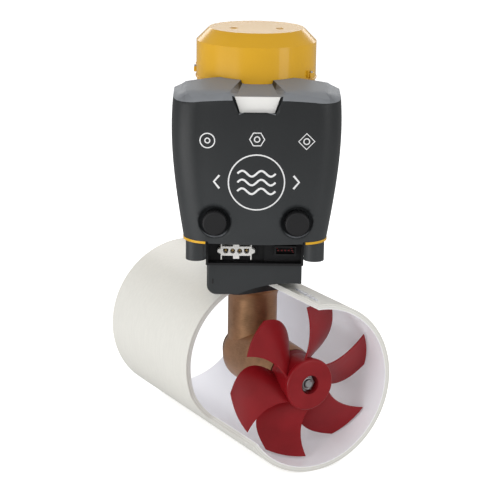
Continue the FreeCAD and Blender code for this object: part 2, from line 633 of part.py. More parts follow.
def make_bearings():
    """Bearings are plain rings here: they sit in their seats and the shafts run in them."""
    ring("prop_front_bearing", "prop_shaft_radius + run_clearance", "front_bearing_radius",
         "pod_front - cap_spigot", "front_bearing_width", tunnel_place)
    ring("prop_rear_bush", "prop_shaft_rear_radius + run_clearance", "rear_bush_radius",
         "-chamber_rear - rear_bush_length", "rear_bush_length", tunnel_place)
    leg_pair = [tube(dim.drive_shaft_radius + dim.run_clearance, dim.leg_bearing_radius,
                     dim.leg_bearing_width, UP * base)
                for base in (dim.lower_bearing_base, dim.upper_bearing_base)]
    shape_part("leg_bearings", Part.makeCompound(leg_pair))
    ring("motor_lower_bearing", "motor_shaft_radius + run_clearance", "lower_motor_bearing_radius",
         "bracket_top + plate_thickness", "lower_motor_bearing_width")
    ring("motor_upper_bearing", "motor_shaft_top_radius + run_clearance",
         "upper_motor_bearing_radius",
         "motor_top - motor_cap_wall - upper_motor_bearing_width", "upper_motor_bearing_width")


# ---- bevel pair ----------------------------------------------------------------------------------

def bevel_wheel(teeth, mate_teeth, hub_radius, hub_length, bore, first_tooth):
    """A straight bevel wheel on Z with its apex at the origin and its hub behind the teeth.

    Every tooth is a wedge whose sides all run to the apex, so that it stays in line with its mate.
    """
    pitch_radius = dim.gear_module * teeth / 2
    apex_height = dim.gear_module * mate_teeth / 2
    cone = math.hypot(pitch_radius, apex_height)
    outward = Vector(apex_height, 0, -pitch_radius) / cone
    pitch_point = Vector(pitch_radius, 0, apex_height)
    tip = pitch_point + outward * dim.tooth_addendum * dim.gear_module
    root = pitch_point - outward * dim.tooth_dedendum * dim.gear_module
    anchor = root - outward * 0.35 * dim.gear_module
    half = dim.tooth_share * math.pi * dim.gear_module / 2
    flank = math.tan(math.radians(20))
    half_tip = half - dim.tooth_addendum * dim.gear_module * flank
    half_anchor = half + (dim.tooth_dedendum + 0.35) * dim.gear_module * flank
    inner = (cone - dim.tooth_length) / cone
    section = [tip + Vector(0, half_tip, 0), tip - Vector(0, half_tip, 0),
               anchor - Vector(0, half_anchor, 0), anchor + Vector(0, half_anchor, 0)]
    tooth = Part.makeLoft([polygon(section), polygon([point * inner for point in section])], True, True)
    hub_end = root.z + hub_length
    blank = Part.Face(polygon([
        Vector(bore, 0, root.z * inner), Vector(root.x * inner, 0, root.z * inner), root,
        Vector(hub_radius, 0, root.z + dim.gear_module), Vector(hub_radius, 0, hub_end),
        Vector(bore, 0, hub_end)])).revolve(Vector(), UP, 360)
    wheel = blank
    for index in range(int(teeth)):
        copy = tooth.copy()
        copy.rotate(Vector(), UP, first_tooth + 360.0 * index / teeth)
        wheel = wheel.fuse(copy)
    return wheel.cut(rod(bore, hub_end + 1))


def make_bevel_pair():
    """At rest a pinion tooth points along the tunnel and stands in a gap at the gear's top."""
    toward_gear = math.degrees(math.atan2(AHEAD.y, AHEAD.x))
    pinion = bevel_wheel(dim.pinion_teeth, dim.gear_teeth, 10.5, dim.pinion_hub_length,
                         dim.drive_shaft_radius, toward_gear)
    shape_part("bevel_pinion", pinion)
    half_pitch = 180.0 / dim.gear_teeth
    gear = bevel_wheel(dim.gear_teeth, dim.pinion_teeth, 15.0, dim.gear_hub_length,
                       dim.prop_shaft_radius, 90 + half_pitch)
    shape_part("bevel_gear", gear, tunnel_place)


def make_shafts():
    turned("drive_shaft", [
        ("0", "drive_shaft_foot"), ("drive_shaft_radius - 1", "drive_shaft_foot"),
        ("drive_shaft_radius", "drive_shaft_foot + 1"),
        ("drive_shaft_radius", "coupling_base + coupling_half - 1"),
        ("drive_shaft_radius - 1", "coupling_base + coupling_half"),
        ("0", "coupling_base + coupling_half")])
    gear_back = dim.gear_module * dim.pinion_teeth / 2 - 8
    shaft = turned("prop_shaft", [
        ("0", "-prop_shaft_rear_end"), ("prop_shaft_rear_radius - 0.5", "-prop_shaft_rear_end"),
        ("prop_shaft_rear_radius", "-prop_shaft_rear_end + 0.5"),
        ("prop_shaft_rear_radius", f"{gear_back}"), ("prop_shaft_radius", f"{gear_back}"),
        ("prop_shaft_radius", "hub_back - 1"), ("hub_bore", "hub_back - 1"),
        ("hub_bore", "hub_back + hub_length - hub_well_depth - washer_thickness / 2"),
        ("stud_end_radius", "hub_back + hub_length - hub_well_depth - washer_thickness / 2"),
        ("stud_end_radius", "hub_back + hub_length - 2.5"),
        ("stud_end_radius - 1", "hub_back + hub_length - 1.5"),
        ("0", "hub_back + hub_length - 1.5")], tunnel_place)
    pin_hole = rings(shaft, "YZ_Plane", [("0", "hub_back + pin_station", "pin_radius")])
    feature = pocket(shaft, pin_hole, "pin_length")
    feature.Midplane = True


# ---- propeller -----------------------------------------------------------------------------------

def through_three(root, middle, tip, share):
    """A parabola through the values at the root, at half span and at the tip."""
    return (root * (1 - share) * (1 - 2 * share) + middle * 4 * share * (1 - share)
            + tip * share * (2 * share - 1))


def blade_section(share):
    """One flat section of a blade: two curved faces between blunt edges."""
    level = dim.blade_root + share * (dim.blade_tip_radius + 0.5 - dim.blade_root)
    trail = Vector(
        through_three(dim.trail_root_across, dim.trail_mid_across, dim.trail_tip_across, share), level,
        through_three(dim.trail_root_along, dim.trail_mid_along, dim.trail_tip_along, share))
    lead = Vector(
        through_three(dim.lead_root_across, dim.lead_mid_across, dim.lead_tip_across, share), level,
        through_three(dim.lead_root_along, dim.lead_mid_along, dim.lead_tip_along, share))
    chord = lead - trail
    normal = chord.cross(Vector(0, 1, 0)).normalize()
    thickest = dim.blade_root_thickness + share * (dim.blade_tip_thickness - dim.blade_root_thickness)
    faces = []
    for side in (0.5, -0.5):
        points = []
        for step in range(5):
            along = step / 4
            swell = dim.blade_edge_thickness + (thickest - dim.blade_edge_thickness) * 4 * along * (
                1 - along)
            points.append(trail + chord * along + normal * side * swell)
        faces.append(points)
    front, back = faces
    curves = []
    for points in (front, back[::-1]):
        spline = Part.BSplineCurve()
        spline.interpolate(points)
        curves.append(spline.toShape())
    nose = Part.makeLine(front[-1], back[-1])
    tail = Part.makeLine(back[0], front[0])
    return Part.Wire([curves[0], nose, curves[1], tail])


def make_propeller():
    """Six swept blades on a hub; the hub's well takes the nut and its back takes the drive pin."""
    sections = [blade_section(share / 4) for share in range(5)]
    blade = Part.makeLoft(sections, True, False)
    blade.translate(UP * dim.hub_back)
    reach_back = Vector(0, 0, dim.hub_back - dim.hub_length)
    blade = blade.common(rod(dim.blade_tip_radius, 3 * dim.hub_length, reach_back))
    blade = blade.cut(rod(dim.hub_well_radius, 3 * dim.hub_length, reach_back))
    hub_front = dim.hub_back + dim.hub_length
    well_floor = hub_front - dim.hub_well_depth
    bore = dim.hub_bore + dim.seat_clearance
    hub = Part.Face(polygon([
        Vector(bore, 0, dim.hub_back), Vector(dim.hub_radius, 0, dim.hub_back),
        Vector(dim.hub_waist_radius, 0, dim.hub_back + dim.hub_rim),
        Vector(dim.hub_waist_radius, 0, hub_front - dim.hub_rim - dim.hub_edge),
        Vector(dim.hub_radius, 0, hub_front - dim.hub_rim), Vector(dim.hub_radius, 0, hub_front),
        Vector(dim.hub_well_radius, 0, hub_front), Vector(dim.hub_well_radius, 0, well_floor),
        Vector(bore, 0, well_floor)])).revolve(Vector(), UP, 360)
    front_edge = [edge for edge in hub.Edges if edge.CenterOfMass.z > hub_front - 0.01
                  and edge.Length > 2 * math.pi * dim.hub_waist_radius]
    shape = hub.makeFillet(dim.hub_edge, front_edge)
    for index in range(int(dim.blade_count)):
        copy = blade.copy()
        copy.rotate(Vector(), UP, -dim.blade_start_angle - 360.0 * index / dim.blade_count)
        shape = shape.fuse(copy)
    pin_slot_half = dim.pin_radius + dim.seat_clearance
    slot = block(Vector(-dim.pin_length / 2 - dim.seat_clearance, -pin_slot_half, dim.hub_back - 1),
                 Vector(dim.pin_length / 2 + dim.seat_clearance, pin_slot_half,
                        dim.hub_back + dim.pin_station + pin_slot_half))
    return shape_part("propeller", shape.cut(slot), tunnel_place)


def make_propeller_fixings():
    pin_level = Vector(-dim.pin_length / 2, 0, dim.hub_back + dim.pin_station)
    pin = rod(dim.pin_radius, dim.pin_length, pin_level, Vector(1, 0, 0))
    shape_part("drive_pin", pin, tunnel_place)
    well_floor = dim.hub_back + dim.hub_length - dim.hub_well_depth
    washer = tube(dim.stud_end_radius + dim.seat_clearance, dim.hub_well_radius - 0.2,
                  dim.washer_thickness, Vector(0, 0, well_floor))
    shape_part("prop_washer", washer, tunnel_place)
    corner = dim.nut_flats / math.sqrt(3)
    hexagon = [Vector(corner * math.cos(math.radians(60 * side)),
                      corner * math.sin(math.radians(60 * side)), well_floor + dim.washer_thickness)
               for side in range(6)]
    nut = Part.Face(polygon(hexagon)).extrude(UP * dim.nut_height)
    nut = nut.cut(rod(dim.stud_end_radius + dim.seat_clearance, 2 * dim.hub_length,
                      Vector(0, 0, dim.hub_back)))
    shape_part("prop_nut", nut, tunnel_place)


# ---- motor ---------------------------------------------------------------------------------------

plate_top = dim.bracket_top + dim.plate_thickness


def make_motor_shell():
    ring("motor_tube", "motor_radius - motor_tube_step - motor_tube_wall",
         "motor_radius - motor_tube_step",
         "bracket_top + plate_thickness + shield_height",
         "motor_top - motor_cap_height - bracket_top - plate_thickness - shield_height")
    shield = turned("shield_blank", [
        ("lower_motor_bearing_radius", "bracket_top + plate_thickness"),
        ("motor_radius", "bracket_top + plate_thickness"),
        ("motor_radius", "bracket_top + plate_thickness + shield_height"),
        ("motor_radius - motor_tube_step - motor_tube_wall",
         "bracket_top + plate_thickness + shield_height"),
        ("motor_radius - motor_tube_step - motor_tube_wall",
         "bracket_top + plate_thickness + shield_thickness"),
        ("lower_motor_bearing_radius + 4", "bracket_top + plate_thickness + shield_thickness"),
        ("lower_motor_bearing_radius + 4",
         "bracket_top + plate_thickness + lower_motor_bearing_width + 2"),
        ("motor_shaft_radius + 2", "bracket_top + plate_thickness + lower_motor_bearing_width + 2"),
        ("motor_shaft_radius + 2", "bracket_top + plate_thickness + lower_motor_bearing_width"),
        ("lower_motor_bearing_radius", "bracket_top + plate_thickness + lower_motor_bearing_width")],
        None)
    doc.recompute()
    drive_end = shield.Shape.copy()
    for centre in motor_screw_centres():
        drive_end = drive_end.cut(rod(dim.bracket_bolt_radius, dim.shield_thickness - 1,
                                      centre + UP * plate_top))
    shape_part("motor_end_shield", drive_end)
    turned("motor_end_cap", [
        ("0", "motor_top"), ("motor_radius - motor_cap_chamfer", "motor_top"),
        ("motor_radius", "motor_top - motor_cap_chamfer"),
        ("motor_radius", "motor_top - motor_cap_height"),
        ("motor_radius - motor_cap_wall", "motor_top - motor_cap_height"),
        ("motor_radius - motor_cap_wall", "motor_top - motor_cap_chamfer - 1.6"),
        ("motor_radius - motor_cap_chamfer - 1.6", "motor_top - motor_cap_wall"),
        ("upper_motor_bearing_radius + 4", "motor_top - motor_cap_wall"),
        ("upper_motor_bearing_radius + 4",
         "motor_top - motor_cap_wall - upper_motor_bearing_width"),
        ("upper_motor_bearing_radius", "motor_top - motor_cap_wall - upper_motor_bearing_width"),
        ("upper_motor_bearing_radius", "motor_top - motor_cap_wall"), ("0", "motor_top - motor_cap_wall")])


def make_field():
    """Magnets inside the tube, and the brushes and springs that the brush plate holds."""
    magnet_outer = dim.motor_radius - dim.motor_tube_step - dim.motor_tube_wall
    magnet_inner = dim.core_radius + dim.air_gap
    magnets = [sector(magnet_inner, magnet_outer, dim.core_base, dim.core_length,
                      360.0 * index / dim.magnet_count, dim.magnet_angle)
               for index in range(int(dim.magnet_count))]
    shape_part("field_magnets", Part.makeCompound(magnets))
    bore = dim.commutator_radius + 2
    plate_base = (dim.core_base + dim.core_length + dim.winding_height + dim.commutator_gap
                  + dim.brush_plate_rise)
    plate = tube(bore, magnet_outer, dim.brush_plate_thickness, UP * plate_base)
    low = plate_base - dim.brush_height
    brushes = []
    springs = []
    for index in range(int(dim.magnet_count)):
        turn = 360.0 * index / dim.magnet_count
        start = dim.commutator_radius + dim.brush_gap
        half = dim.brush_width / 2
        brush = block(Vector(start, -half, low), Vector(start + dim.brush_length, half, plate_base))
        brush = brush.cut(rod(dim.commutator_radius + dim.brush_gap, 2 * dim.motor_top))
        end = start + dim.brush_length
        spring = rod(half - 1.5, dim.spring_length, Vector(end, 0, low + dim.brush_height / 2),
                     Vector(1, 0, 0))
        holder = block(Vector(bore + 2, -half - 1.5, low - 1.5),
                       Vector(end + dim.spring_length + 1.5, half + 1.5, plate_base))
        holder = holder.cut(block(Vector(bore, -half, low),
                                  Vector(end + dim.spring_length, half, plate_base)))
        for piece in (brush, spring, holder):
            piece.rotate(Vector(), UP, turn)
        brushes.append(brush)
        springs.append(spring)
        plate = plate.fuse(holder)
    shape_part("brushes", Part.makeCompound(brushes))
    shape_part("brush_springs", Part.makeCompound(springs))
    shape_part("brush_plate", plate)


def make_armature():
    shaft_foot = "coupling_base + coupling_half + jaw_height + motor_shaft_step"
    commutator_base = "core_base + core_length + winding_height + commutator_gap"
    turned("armature_shaft", [
        ("0", shaft_foot), ("motor_shaft_radius - 1", shaft_foot),
        ("motor_shaft_radius", f"{shaft_foot} + 1"),
        ("motor_shaft_radius", f"{commutator_base} + commutator_length"),
        ("motor_shaft_top_radius", f"{commutator_base} + commutator_length"),
        ("motor_shaft_top_radius", "motor_top - motor_cap_wall - 1"),
        ("0", "motor_top - motor_cap_wall - 1")])
    core = new_body("armature_core")
    disc = rings(core, "XY_Plane", [("0", "0", "core_radius"), ("0", "0", "motor_shaft_radius")],
                 "core_base")
    pad(core, disc, "core_length")
    slot = outline(core, "XY_Plane", [
        ("core_radius - slot_depth", "-slot_width / 2"), ("core_radius + 1", "-slot_width / 2"),
        ("core_radius + 1", "slot_width / 2"), ("core_radius - slot_depth", "slot_width / 2")],
        "core_base")
    repeat(core, pocket(core, slot, "core_length"), "core_slots", slot)
    finish(core, "armature_core", head_place)
    gap = dim.slot_depth
    end_turns = []
    for base in (dim.core_base - dim.winding_height, dim.core_base + dim.core_length):
        end_turns.append(tube(dim.motor_shaft_radius + 2, dim.winding_radius, dim.winding_height,
                              Vector(0, 0, base)))
    coils = end_turns[0].fuse(end_turns[1])
    for index in range(int(dim.core_slots)):
        half = dim.slot_width / 2 - 0.3
        bar = block(Vector(dim.core_radius - gap, -half, dim.core_base),
                    Vector(dim.winding_radius, half, dim.core_base + dim.core_length))
        bar.rotate(Vector(), UP, 360.0 * index / dim.core_slots)
        coils = coils.fuse(bar)
    shape_part("armature_coils", coils)
    commutator = new_body("commutator")
    barrel = rings(commutator, "XY_Plane", [("0", "0", "commutator_radius"),
                                            ("0", "0", "motor_shaft_radius")], commutator_base)
    pad(commutator, barrel, "commutator_length")
    cut = outline(commutator, "XY_Plane", [
        ("commutator_radius - 1", "-0.3"), ("commutator_radius + 1", "-0.3"),
        ("commutator_radius + 1", "0.3"), ("commutator_radius - 1", "0.3")], commutator_base)
    repeat(commutator, pocket(commutator, cut, "commutator_length"), "commutator_bars", cut)
    finish(commutator, "commutator", head_place)


def make_coupling():
    """Two jaw hubs with a rubber star between them."""
    jaw_base = dim.coupling_base + dim.coupling_half
    top_base = jaw_base + dim.jaw_height
    for label, base, height_of_jaws, bore, turn in (
            ("lower_coupling", dim.coupling_base, jaw_base, dim.drive_shaft_radius, 0),
            ("upper_coupling", top_base, jaw_base, dim.motor_shaft_radius, 60)):
        hub = tube(bore, dim.coupling_radius, dim.coupling_half, Vector(0, 0, base))
        for index in range(3):
            hub = hub.fuse(sector(dim.jaw_inner, dim.coupling_radius, height_of_jaws, dim.jaw_height,
                                  turn + 120 * index, dim.jaw_angle))
        shape_part(label, hub)
    leg_angle = (360 - 6 * dim.jaw_angle) / 6 - 0.6
    star = tube(dim.jaw_inner - 2, dim.jaw_inner - 0.1, dim.jaw_height - 0.2, Vector(0, 0, jaw_base + 0.1))
    for index in range(6):
        star = star.fuse(sector(dim.jaw_inner - 0.5, dim.coupling_radius - 0.3, jaw_base + 0.1,
                                dim.jaw_height - 0.2, 30 + 60 * index, leg_angle))
    shape_part("coupling_star", star)


# ---- motor plate, cover and controls -------------------------------------------------------------

def plan_wire(level, half, front, corner, back):
    """The cover's plan: a bowed front, two rounded corners and straight sides."""
    shoulder = -front + dim.cover_bow
    inner = half - corner
    bend = corner * math.sqrt(0.5)
    front_arc = Part.Arc(Vector(-inner, shoulder, level), Vector(0, -front, level),
                         Vector(inner, shoulder, level)).toShape()
    right = Part.Arc(Vector(inner, shoulder, level),
                     Vector(inner + bend, shoulder + corner - bend, level),
                     Vector(half, shoulder + corner, level)).toShape()
    left = Part.Arc(Vector(-half, shoulder + corner, level),
                    Vector(-inner - bend, shoulder + corner - bend, level),
                    Vector(-inner, shoulder, level)).toShape()
    right_side = Part.makeLine(Vector(half, shoulder + corner, level), Vector(half, -back, level))
    rear = Part.makeLine(Vector(half, -back, level), Vector(-half, -back, level))
    left_side = Part.makeLine(Vector(-half, -back, level), Vector(-half, shoulder + corner, level))
    return Part.Wire([front_arc, right, right_side, rear, left_side, left])


def cover_loft(inset, foot, back):
    """The swelling body of the cover, or its hollow when inset by the wall."""
    stations = [(foot, dim.cover_foot_half), (dim.cover_low_level, dim.cover_low_half),
                (dim.cover_wide_level, dim.cover_wide_half),
                (dim.cover_top_front + 2 * dim.cover_top_rise, dim.cover_top_half)]
    wires = [plan_wire(level, half - inset, dim.cover_front - inset, dim.cover_corner - inset, back)
             for level, half in stations]
    return Part.makeLoft(wires, True, False)


def above_cover(drop):
    """All that lies above the crowned, rising top of the cover, lowered by the given drop."""
    slope = dim.cover_top_rise / (dim.cover_front - dim.cover_back)
    half = dim.cover_wide_half
    start = -dim.cover_front - 20
    peak = dim.cover_top_front - drop - slope * 20
    arc = Part.Arc(Vector(-half, start, peak - dim.cover_crown), Vector(0, start, peak),
                   Vector(half, start, peak - dim.cover_crown)).toShape()
    ends = [Vector(half, start, peak - dim.cover_crown), Vector(half + 20, start, peak - dim.cover_crown),
            Vector(half + 20, start, peak + 90), Vector(-half - 20, start, peak + 90),
            Vector(-half - 20, start, peak - dim.cover_crown),
            Vector(-half, start, peak - dim.cover_crown)]
    face = Part.Face(Part.Wire([arc] + [Part.makeLine(ends[i], ends[i + 1]) for i in range(5)]))
    depth = dim.cover_front + 20
    return face.extrude(Vector(0, depth, depth * slope))


def notch_prism(margin, near, far):
    """The tapered notch at the top of the front face, between two depths."""
    top = dim.cover_top_front + dim.cover_top_rise
    lean = (dim.notch_top_half - dim.notch_foot_half) / dim.notch_height
    foot = dim.cover_top_front - dim.notch_height + margin
    foot_half = dim.notch_foot_half - margin
    top_half = dim.notch_foot_half + lean * (dim.notch_height + dim.cover_top_rise) - margin
    face = Part.Face(polygon([Vector(-foot_half, near, foot), Vector(foot_half, near, foot),
                              Vector(top_half, near, top), Vector(-top_half, near, top)]))
    return face.extrude(Vector(0, far - near, 0))


def make_motor_plate():
    """The painted plate under motor and cover, open at the front for the connector panel."""
    lip = dim.plate_lip
    wire = plan_wire(dim.bracket_top, dim.cover_foot_half + lip, dim.cover_front + lip,
                     dim.cover_corner + lip, -dim.base_back)
    slab = Part.Face(wire).extrude(UP * dim.plate_thickness)
    rear_trim = block(Vector(-200, 0, dim.bracket_top - 1), Vector(200, 200, plate_top + 1))
    slab = slab.cut(rear_trim).fuse(
        rod(dim.motor_radius + 2, dim.plate_thickness, UP * dim.bracket_top))
    slab = slab.fuse(block(Vector(-dim.base_half_width, 0, dim.bracket_top),
                           Vector(dim.base_half_width, dim.base_back, plate_top)))
    gap = dim.seat_clearance
    slab = slab.cut(block(Vector(-dim.base_half_width - 1.5, -200, dim.bracket_top - 1),
                          Vector(dim.base_half_width + 1.5, -dim.panel_front, plate_top + 1)))
    slab = slab.cut(rod(dim.lower_motor_bearing_radius - 2, 500))
    for side in (-1, 1):
        slab = slab.cut(rod(dim.spout_bore, 500, Vector(side * dim.spout_x, -dim.spout_y, 0)))
    for centre in motor_screw_centres():
        slab = slab.cut(rod(dim.bracket_bolt_radius + gap, 500, centre))
    for centre in plate_bolt_centres():
        slab = slab.cut(rod(dim.plate_bolt_radius + gap, 500, centre))
        slab = slab.cut(countersunk_head(centre, dim.plate_bolt_radius + gap))
    return shape_part("motor_plate", slab)


def countersunk_head(centre, radius):
    """The 90 degree head of a screw that ends flush with the plate."""
    return Part.makeCone(radius, radius + dim.plate_thickness - 0.4, dim.plate_thickness - 0.4,
                         Vector(centre.x, centre.y, dim.bracket_top + 0.4))


def motor_screw_centres():
    return round_the_leg(dim.motor_screw_count, dim.motor_screw_circle, 0)


def plate_bolt_centres():
    reach = dim.base_half_width - dim.plate_bolt_inset
    for across in (-reach, reach):
        for along in (-dim.plate_bolt_front, dim.plate_bolt_back):
            yield Vector(across, along, 0)


def make_plate_fixings():
    screws = []
    for centre in motor_screw_centres():
        top = plate_top + dim.shield_thickness - 1
        screw = bolt(dim.bracket_bolt_radius, -top, -dim.bracket_top, centre)
        screws.append(screw.mirror(Vector(), UP))
    shape_part("motor_screws", Part.makeCompound(screws))
    flat_heads = []
    for centre in plate_bolt_centres():
        foot = Vector(centre.x, centre.y, dim.bracket_top + 1 - dim.plate_bolt_length)
        shank = rod(dim.plate_bolt_radius, dim.plate_bolt_length, foot)
        flat_heads.append(shank.fuse(countersunk_head(centre, dim.plate_bolt_radius)))
    shape_part("plate_bolts", Part.makeCompound(flat_heads))


def knob_pocket_floor():
    """How far forward the floor of a knob's pocket lies."""
    bow = dim.cover_bow * (dim.knob_x / (dim.cover_foot_half - dim.cover_corner)) ** 2
    return dim.cover_front - bow - dim.pocket_depth


def make_cover():
    """A moulded shell: swelling sides, crowned top, notch, knob pockets and an open back."""
    foot = plate_top - dim.cover_lip
    outer = cover_loft(0, foot, dim.cover_back).cut(above_cover(0))
    hollow = cover_loft(dim.cover_wall, foot, dim.cover_back - 1).cut(above_cover(dim.cover_wall))
    shell = outer.cut(hollow)
    backed = notch_prism(-dim.cover_wall, -dim.cover_front - 5,
                         -dim.cover_front + dim.notch_depth + dim.plaque_thickness + dim.cover_wall)
    shell = shell.fuse(backed.common(outer))
    shell = shell.cut(notch_prism(0, -dim.cover_front - 5,
                                  -dim.cover_front + dim.notch_depth + dim.plaque_thickness))
    floor = -knob_pocket_floor()
    for side in (-1, 1):
        centre = Vector(side * dim.knob_x, -dim.cover_front - 5, dim.knob_level)
        depth = floor - centre.y
        along = Vector(0, 1, 0)
        boss = rod(dim.pocket_radius + dim.cover_wall, depth + dim.cover_wall, centre, along)
        shell = shell.fuse(boss.common(outer))
        shell = shell.cut(rod(dim.pocket_radius, depth, centre, along))
        shell = shell.cut(rod(dim.knob_stem_radius + 0.5, depth + 20, centre, along))
    for side in (-1, 1):
        low = block(Vector(min(side * (dim.base_half_width - 1), side * 200), -200, foot - 1),
                    Vector(max(side * (dim.base_half_width - 1), side * 200), 0, plate_top))
        shell = shell.cut(low)
    shell = shell.cut(block(Vector(-200, -dim.cover_front + dim.cover_corner / 2, foot - 1),
                            Vector(200, 0, plate_top)))
    shell = shell.cut(rod(dim.motor_radius + 0.6, 500))
    shape_part("control_cover", shell)
    face_at = -dim.cover_front + dim.notch_depth
    plaque = notch_prism(dim.plaque_margin, face_at, face_at + dim.plaque_thickness)
    shape_part("cover_plaque", plaque.cut(above_cover(0.4)))


def make_knobs():
    """Each knob screws on a stud of the control frame and holds the cover; a washer keeps it."""
    floor = -knob_pocket_floor()
    inside = floor + dim.cover_wall
    along = Vector(0, 1, 0)
    for side, name in ((-1, "left"), (1, "right")):
        axis = Vector(side * dim.knob_x, 0, dim.knob_level)
        grip = rod(dim.knob_radius, dim.knob_length, axis + along * (floor - dim.knob_length), along)
        front_edge = [edge for edge in grip.Edges if edge.CenterOfMass.y < floor - dim.knob_length + 0.01
                      and edge.Length > dim.knob_radius]
        grip = grip.makeFillet(1.5, front_edge)
        washer_at = inside + dim.knob_travel + 0.4
        stem_end = washer_at + dim.captive_thickness
        stem = rod(dim.knob_stem_radius, stem_end - floor, axis + along * floor, along)
        waist = tube(dim.knob_stem_radius - 1.2, dim.knob_stem_radius, dim.captive_thickness,
                     axis + along * washer_at, along)
        knob = grip.fuse(stem).cut(waist)
        knob = knob.cut(rod(dim.stud_radius + dim.seat_clearance, 200,
                            axis + along * (floor - dim.knob_length / 2), along))
        shape_part(f"cover_knob_{name}", knob)
        washer = tube(dim.knob_stem_radius - 1.15, dim.captive_radius, dim.captive_thickness,
                      axis + along * washer_at, along)
        shape_part(f"captive_washer_{name}", washer)
    studs = []
    for side in (-1, 1):
        start = Vector(side * dim.knob_x, floor - dim.knob_length / 2 + 1, dim.knob_level)
        studs.append(rod(dim.stud_radius, -dim.frame_front - start.y, start, along))
    shape_part("cover_studs", Part.makeCompound(studs))


def make_control_frame():
    """Folded sheet: a foot on the plate, a wall, a shelf for the contactors, a panel for the board
    and a back that closes the cover beside the motor.
    """
    sheet_wall = dim.sheet_thickness
    front = -dim.frame_front
    wall = block(Vector(-dim.frame_half_width, front, plate_top),
                 Vector(dim.frame_half_width, front + sheet_wall, dim.shelf_level))
    panel = block(Vector(-dim.frame_panel_half, front, dim.shelf_level),
                  Vector(dim.frame_panel_half, front + sheet_wall, dim.frame_top))
    foot = block(Vector(-dim.frame_half_width, front, plate_top),
                 Vector(dim.frame_half_width, front + 14, plate_top + sheet_wall))
    shelf = block(Vector(-dim.shelf_half_width, -dim.shelf_front, dim.shelf_level),
                  Vector(dim.shelf_half_width, -dim.cover_back, dim.shelf_level + sheet_wall))
    back = block(Vector(-dim.cover_wide_half, -dim.cover_back - sheet_wall, plate_top),
                 Vector(dim.cover_wide_half, -dim.cover_back, dim.cover_top_front - dim.cover_wall))
    motor_room = rod(dim.motor_radius + 1, 2 * dim.motor_top)
    frame = wall.fuse([panel, foot, shelf, back]).cut(motor_room)
    corner_room = cover_loft(dim.cover_wall + 0.5, plate_top, dim.cover_back)
    corner_room = corner_room.cut(above_cover(dim.cover_wall + 0.5))
    frame = frame.common(corner_room)
    for side in (-1, 1):
        frame = frame.cut(rod(dim.post_radius + dim.seat_clearance, dim.shelf_level,
                              Vector(side * dim.contactor_x, -dim.contactor_y, plate_top + 10)))
    return shape_part("control_frame", frame)


def make_switchgear():
    """Two contactors, their battery posts, the straps between them, and the control board."""
    base = dim.shelf_level + dim.sheet_thickness
    top = base + dim.contactor_length
    posts = []
    for side, name in ((-1, "left"), (1, "right")):
        foot = Vector(side * dim.contactor_x, -dim.contactor_y, base)
        can = rod(dim.contactor_radius, dim.contactor_length, foot)
        cap = rod(dim.contactor_radius - 3, 3, foot + UP * dim.contactor_length)
        body = can.fuse(cap)
        for offset in (-7, 7):
            body = body.fuse(rod(2, 9, foot + Vector(offset, 0, dim.contactor_length + 3)))
        body = body.cut(rod(dim.post_radius + dim.seat_clearance, 6, foot))
        shape_part(f"contactor_{name}", body)
        posts.append(rod(dim.post_radius, dim.post_length + dim.sheet_thickness + 5,
                         foot - UP * (dim.post_length + dim.sheet_thickness)))
    shape_part("battery_posts", Part.makeCompound(posts))
    strap_base = top + 3
    strap = block(Vector(-dim.contactor_x - 11, -dim.contactor_y - 5, strap_base),
                  Vector(dim.contactor_x + 11, -dim.contactor_y + 3, strap_base + dim.strap_thickness))
    for side in (-1, 1):
        for offset in (-7, 7):
            strap = strap.cut(rod(2 + dim.seat_clearance, 20,
                                  Vector(side * dim.contactor_x + offset, -dim.contactor_y,
                                         strap_base - 5)))
    slot_half = dim.frame_panel_half + 0.5
    strap = strap.cut(block(Vector(-slot_half, -dim.frame_front - 0.3, strap_base - 1),
                            Vector(slot_half, -dim.contactor_y + 10, strap_base + 10)))
    shape_part("copper_strap", strap)
    board_back = -dim.frame_front - dim.board_standoff
    board = block(Vector(-dim.board_half_width, board_back - dim.board_thickness, dim.board_base),
                  Vector(dim.board_half_width, board_back, dim.board_base + dim.board_length - 24))
    for across in (-dim.board_half_width + 4, dim.board_half_width - 4):
        for level in (dim.board_base + 4, dim.board_base + dim.board_length - 28):
            board = board.fuse(rod(2.5, dim.board_standoff, Vector(across, board_back, level),
                                   Vector(0, 1, 0)))
    for across, level, size in ((-12, 8, 9), (2, 10, 7), (12, 24, 8)):
        part_front = board_back - dim.board_thickness
        board = board.fuse(block(Vector(across - size / 2, part_front - 8, dim.board_base + level),
                                 Vector(across + size / 2, part_front, dim.board_base + level + size)))
    shape_part("control_board", board)


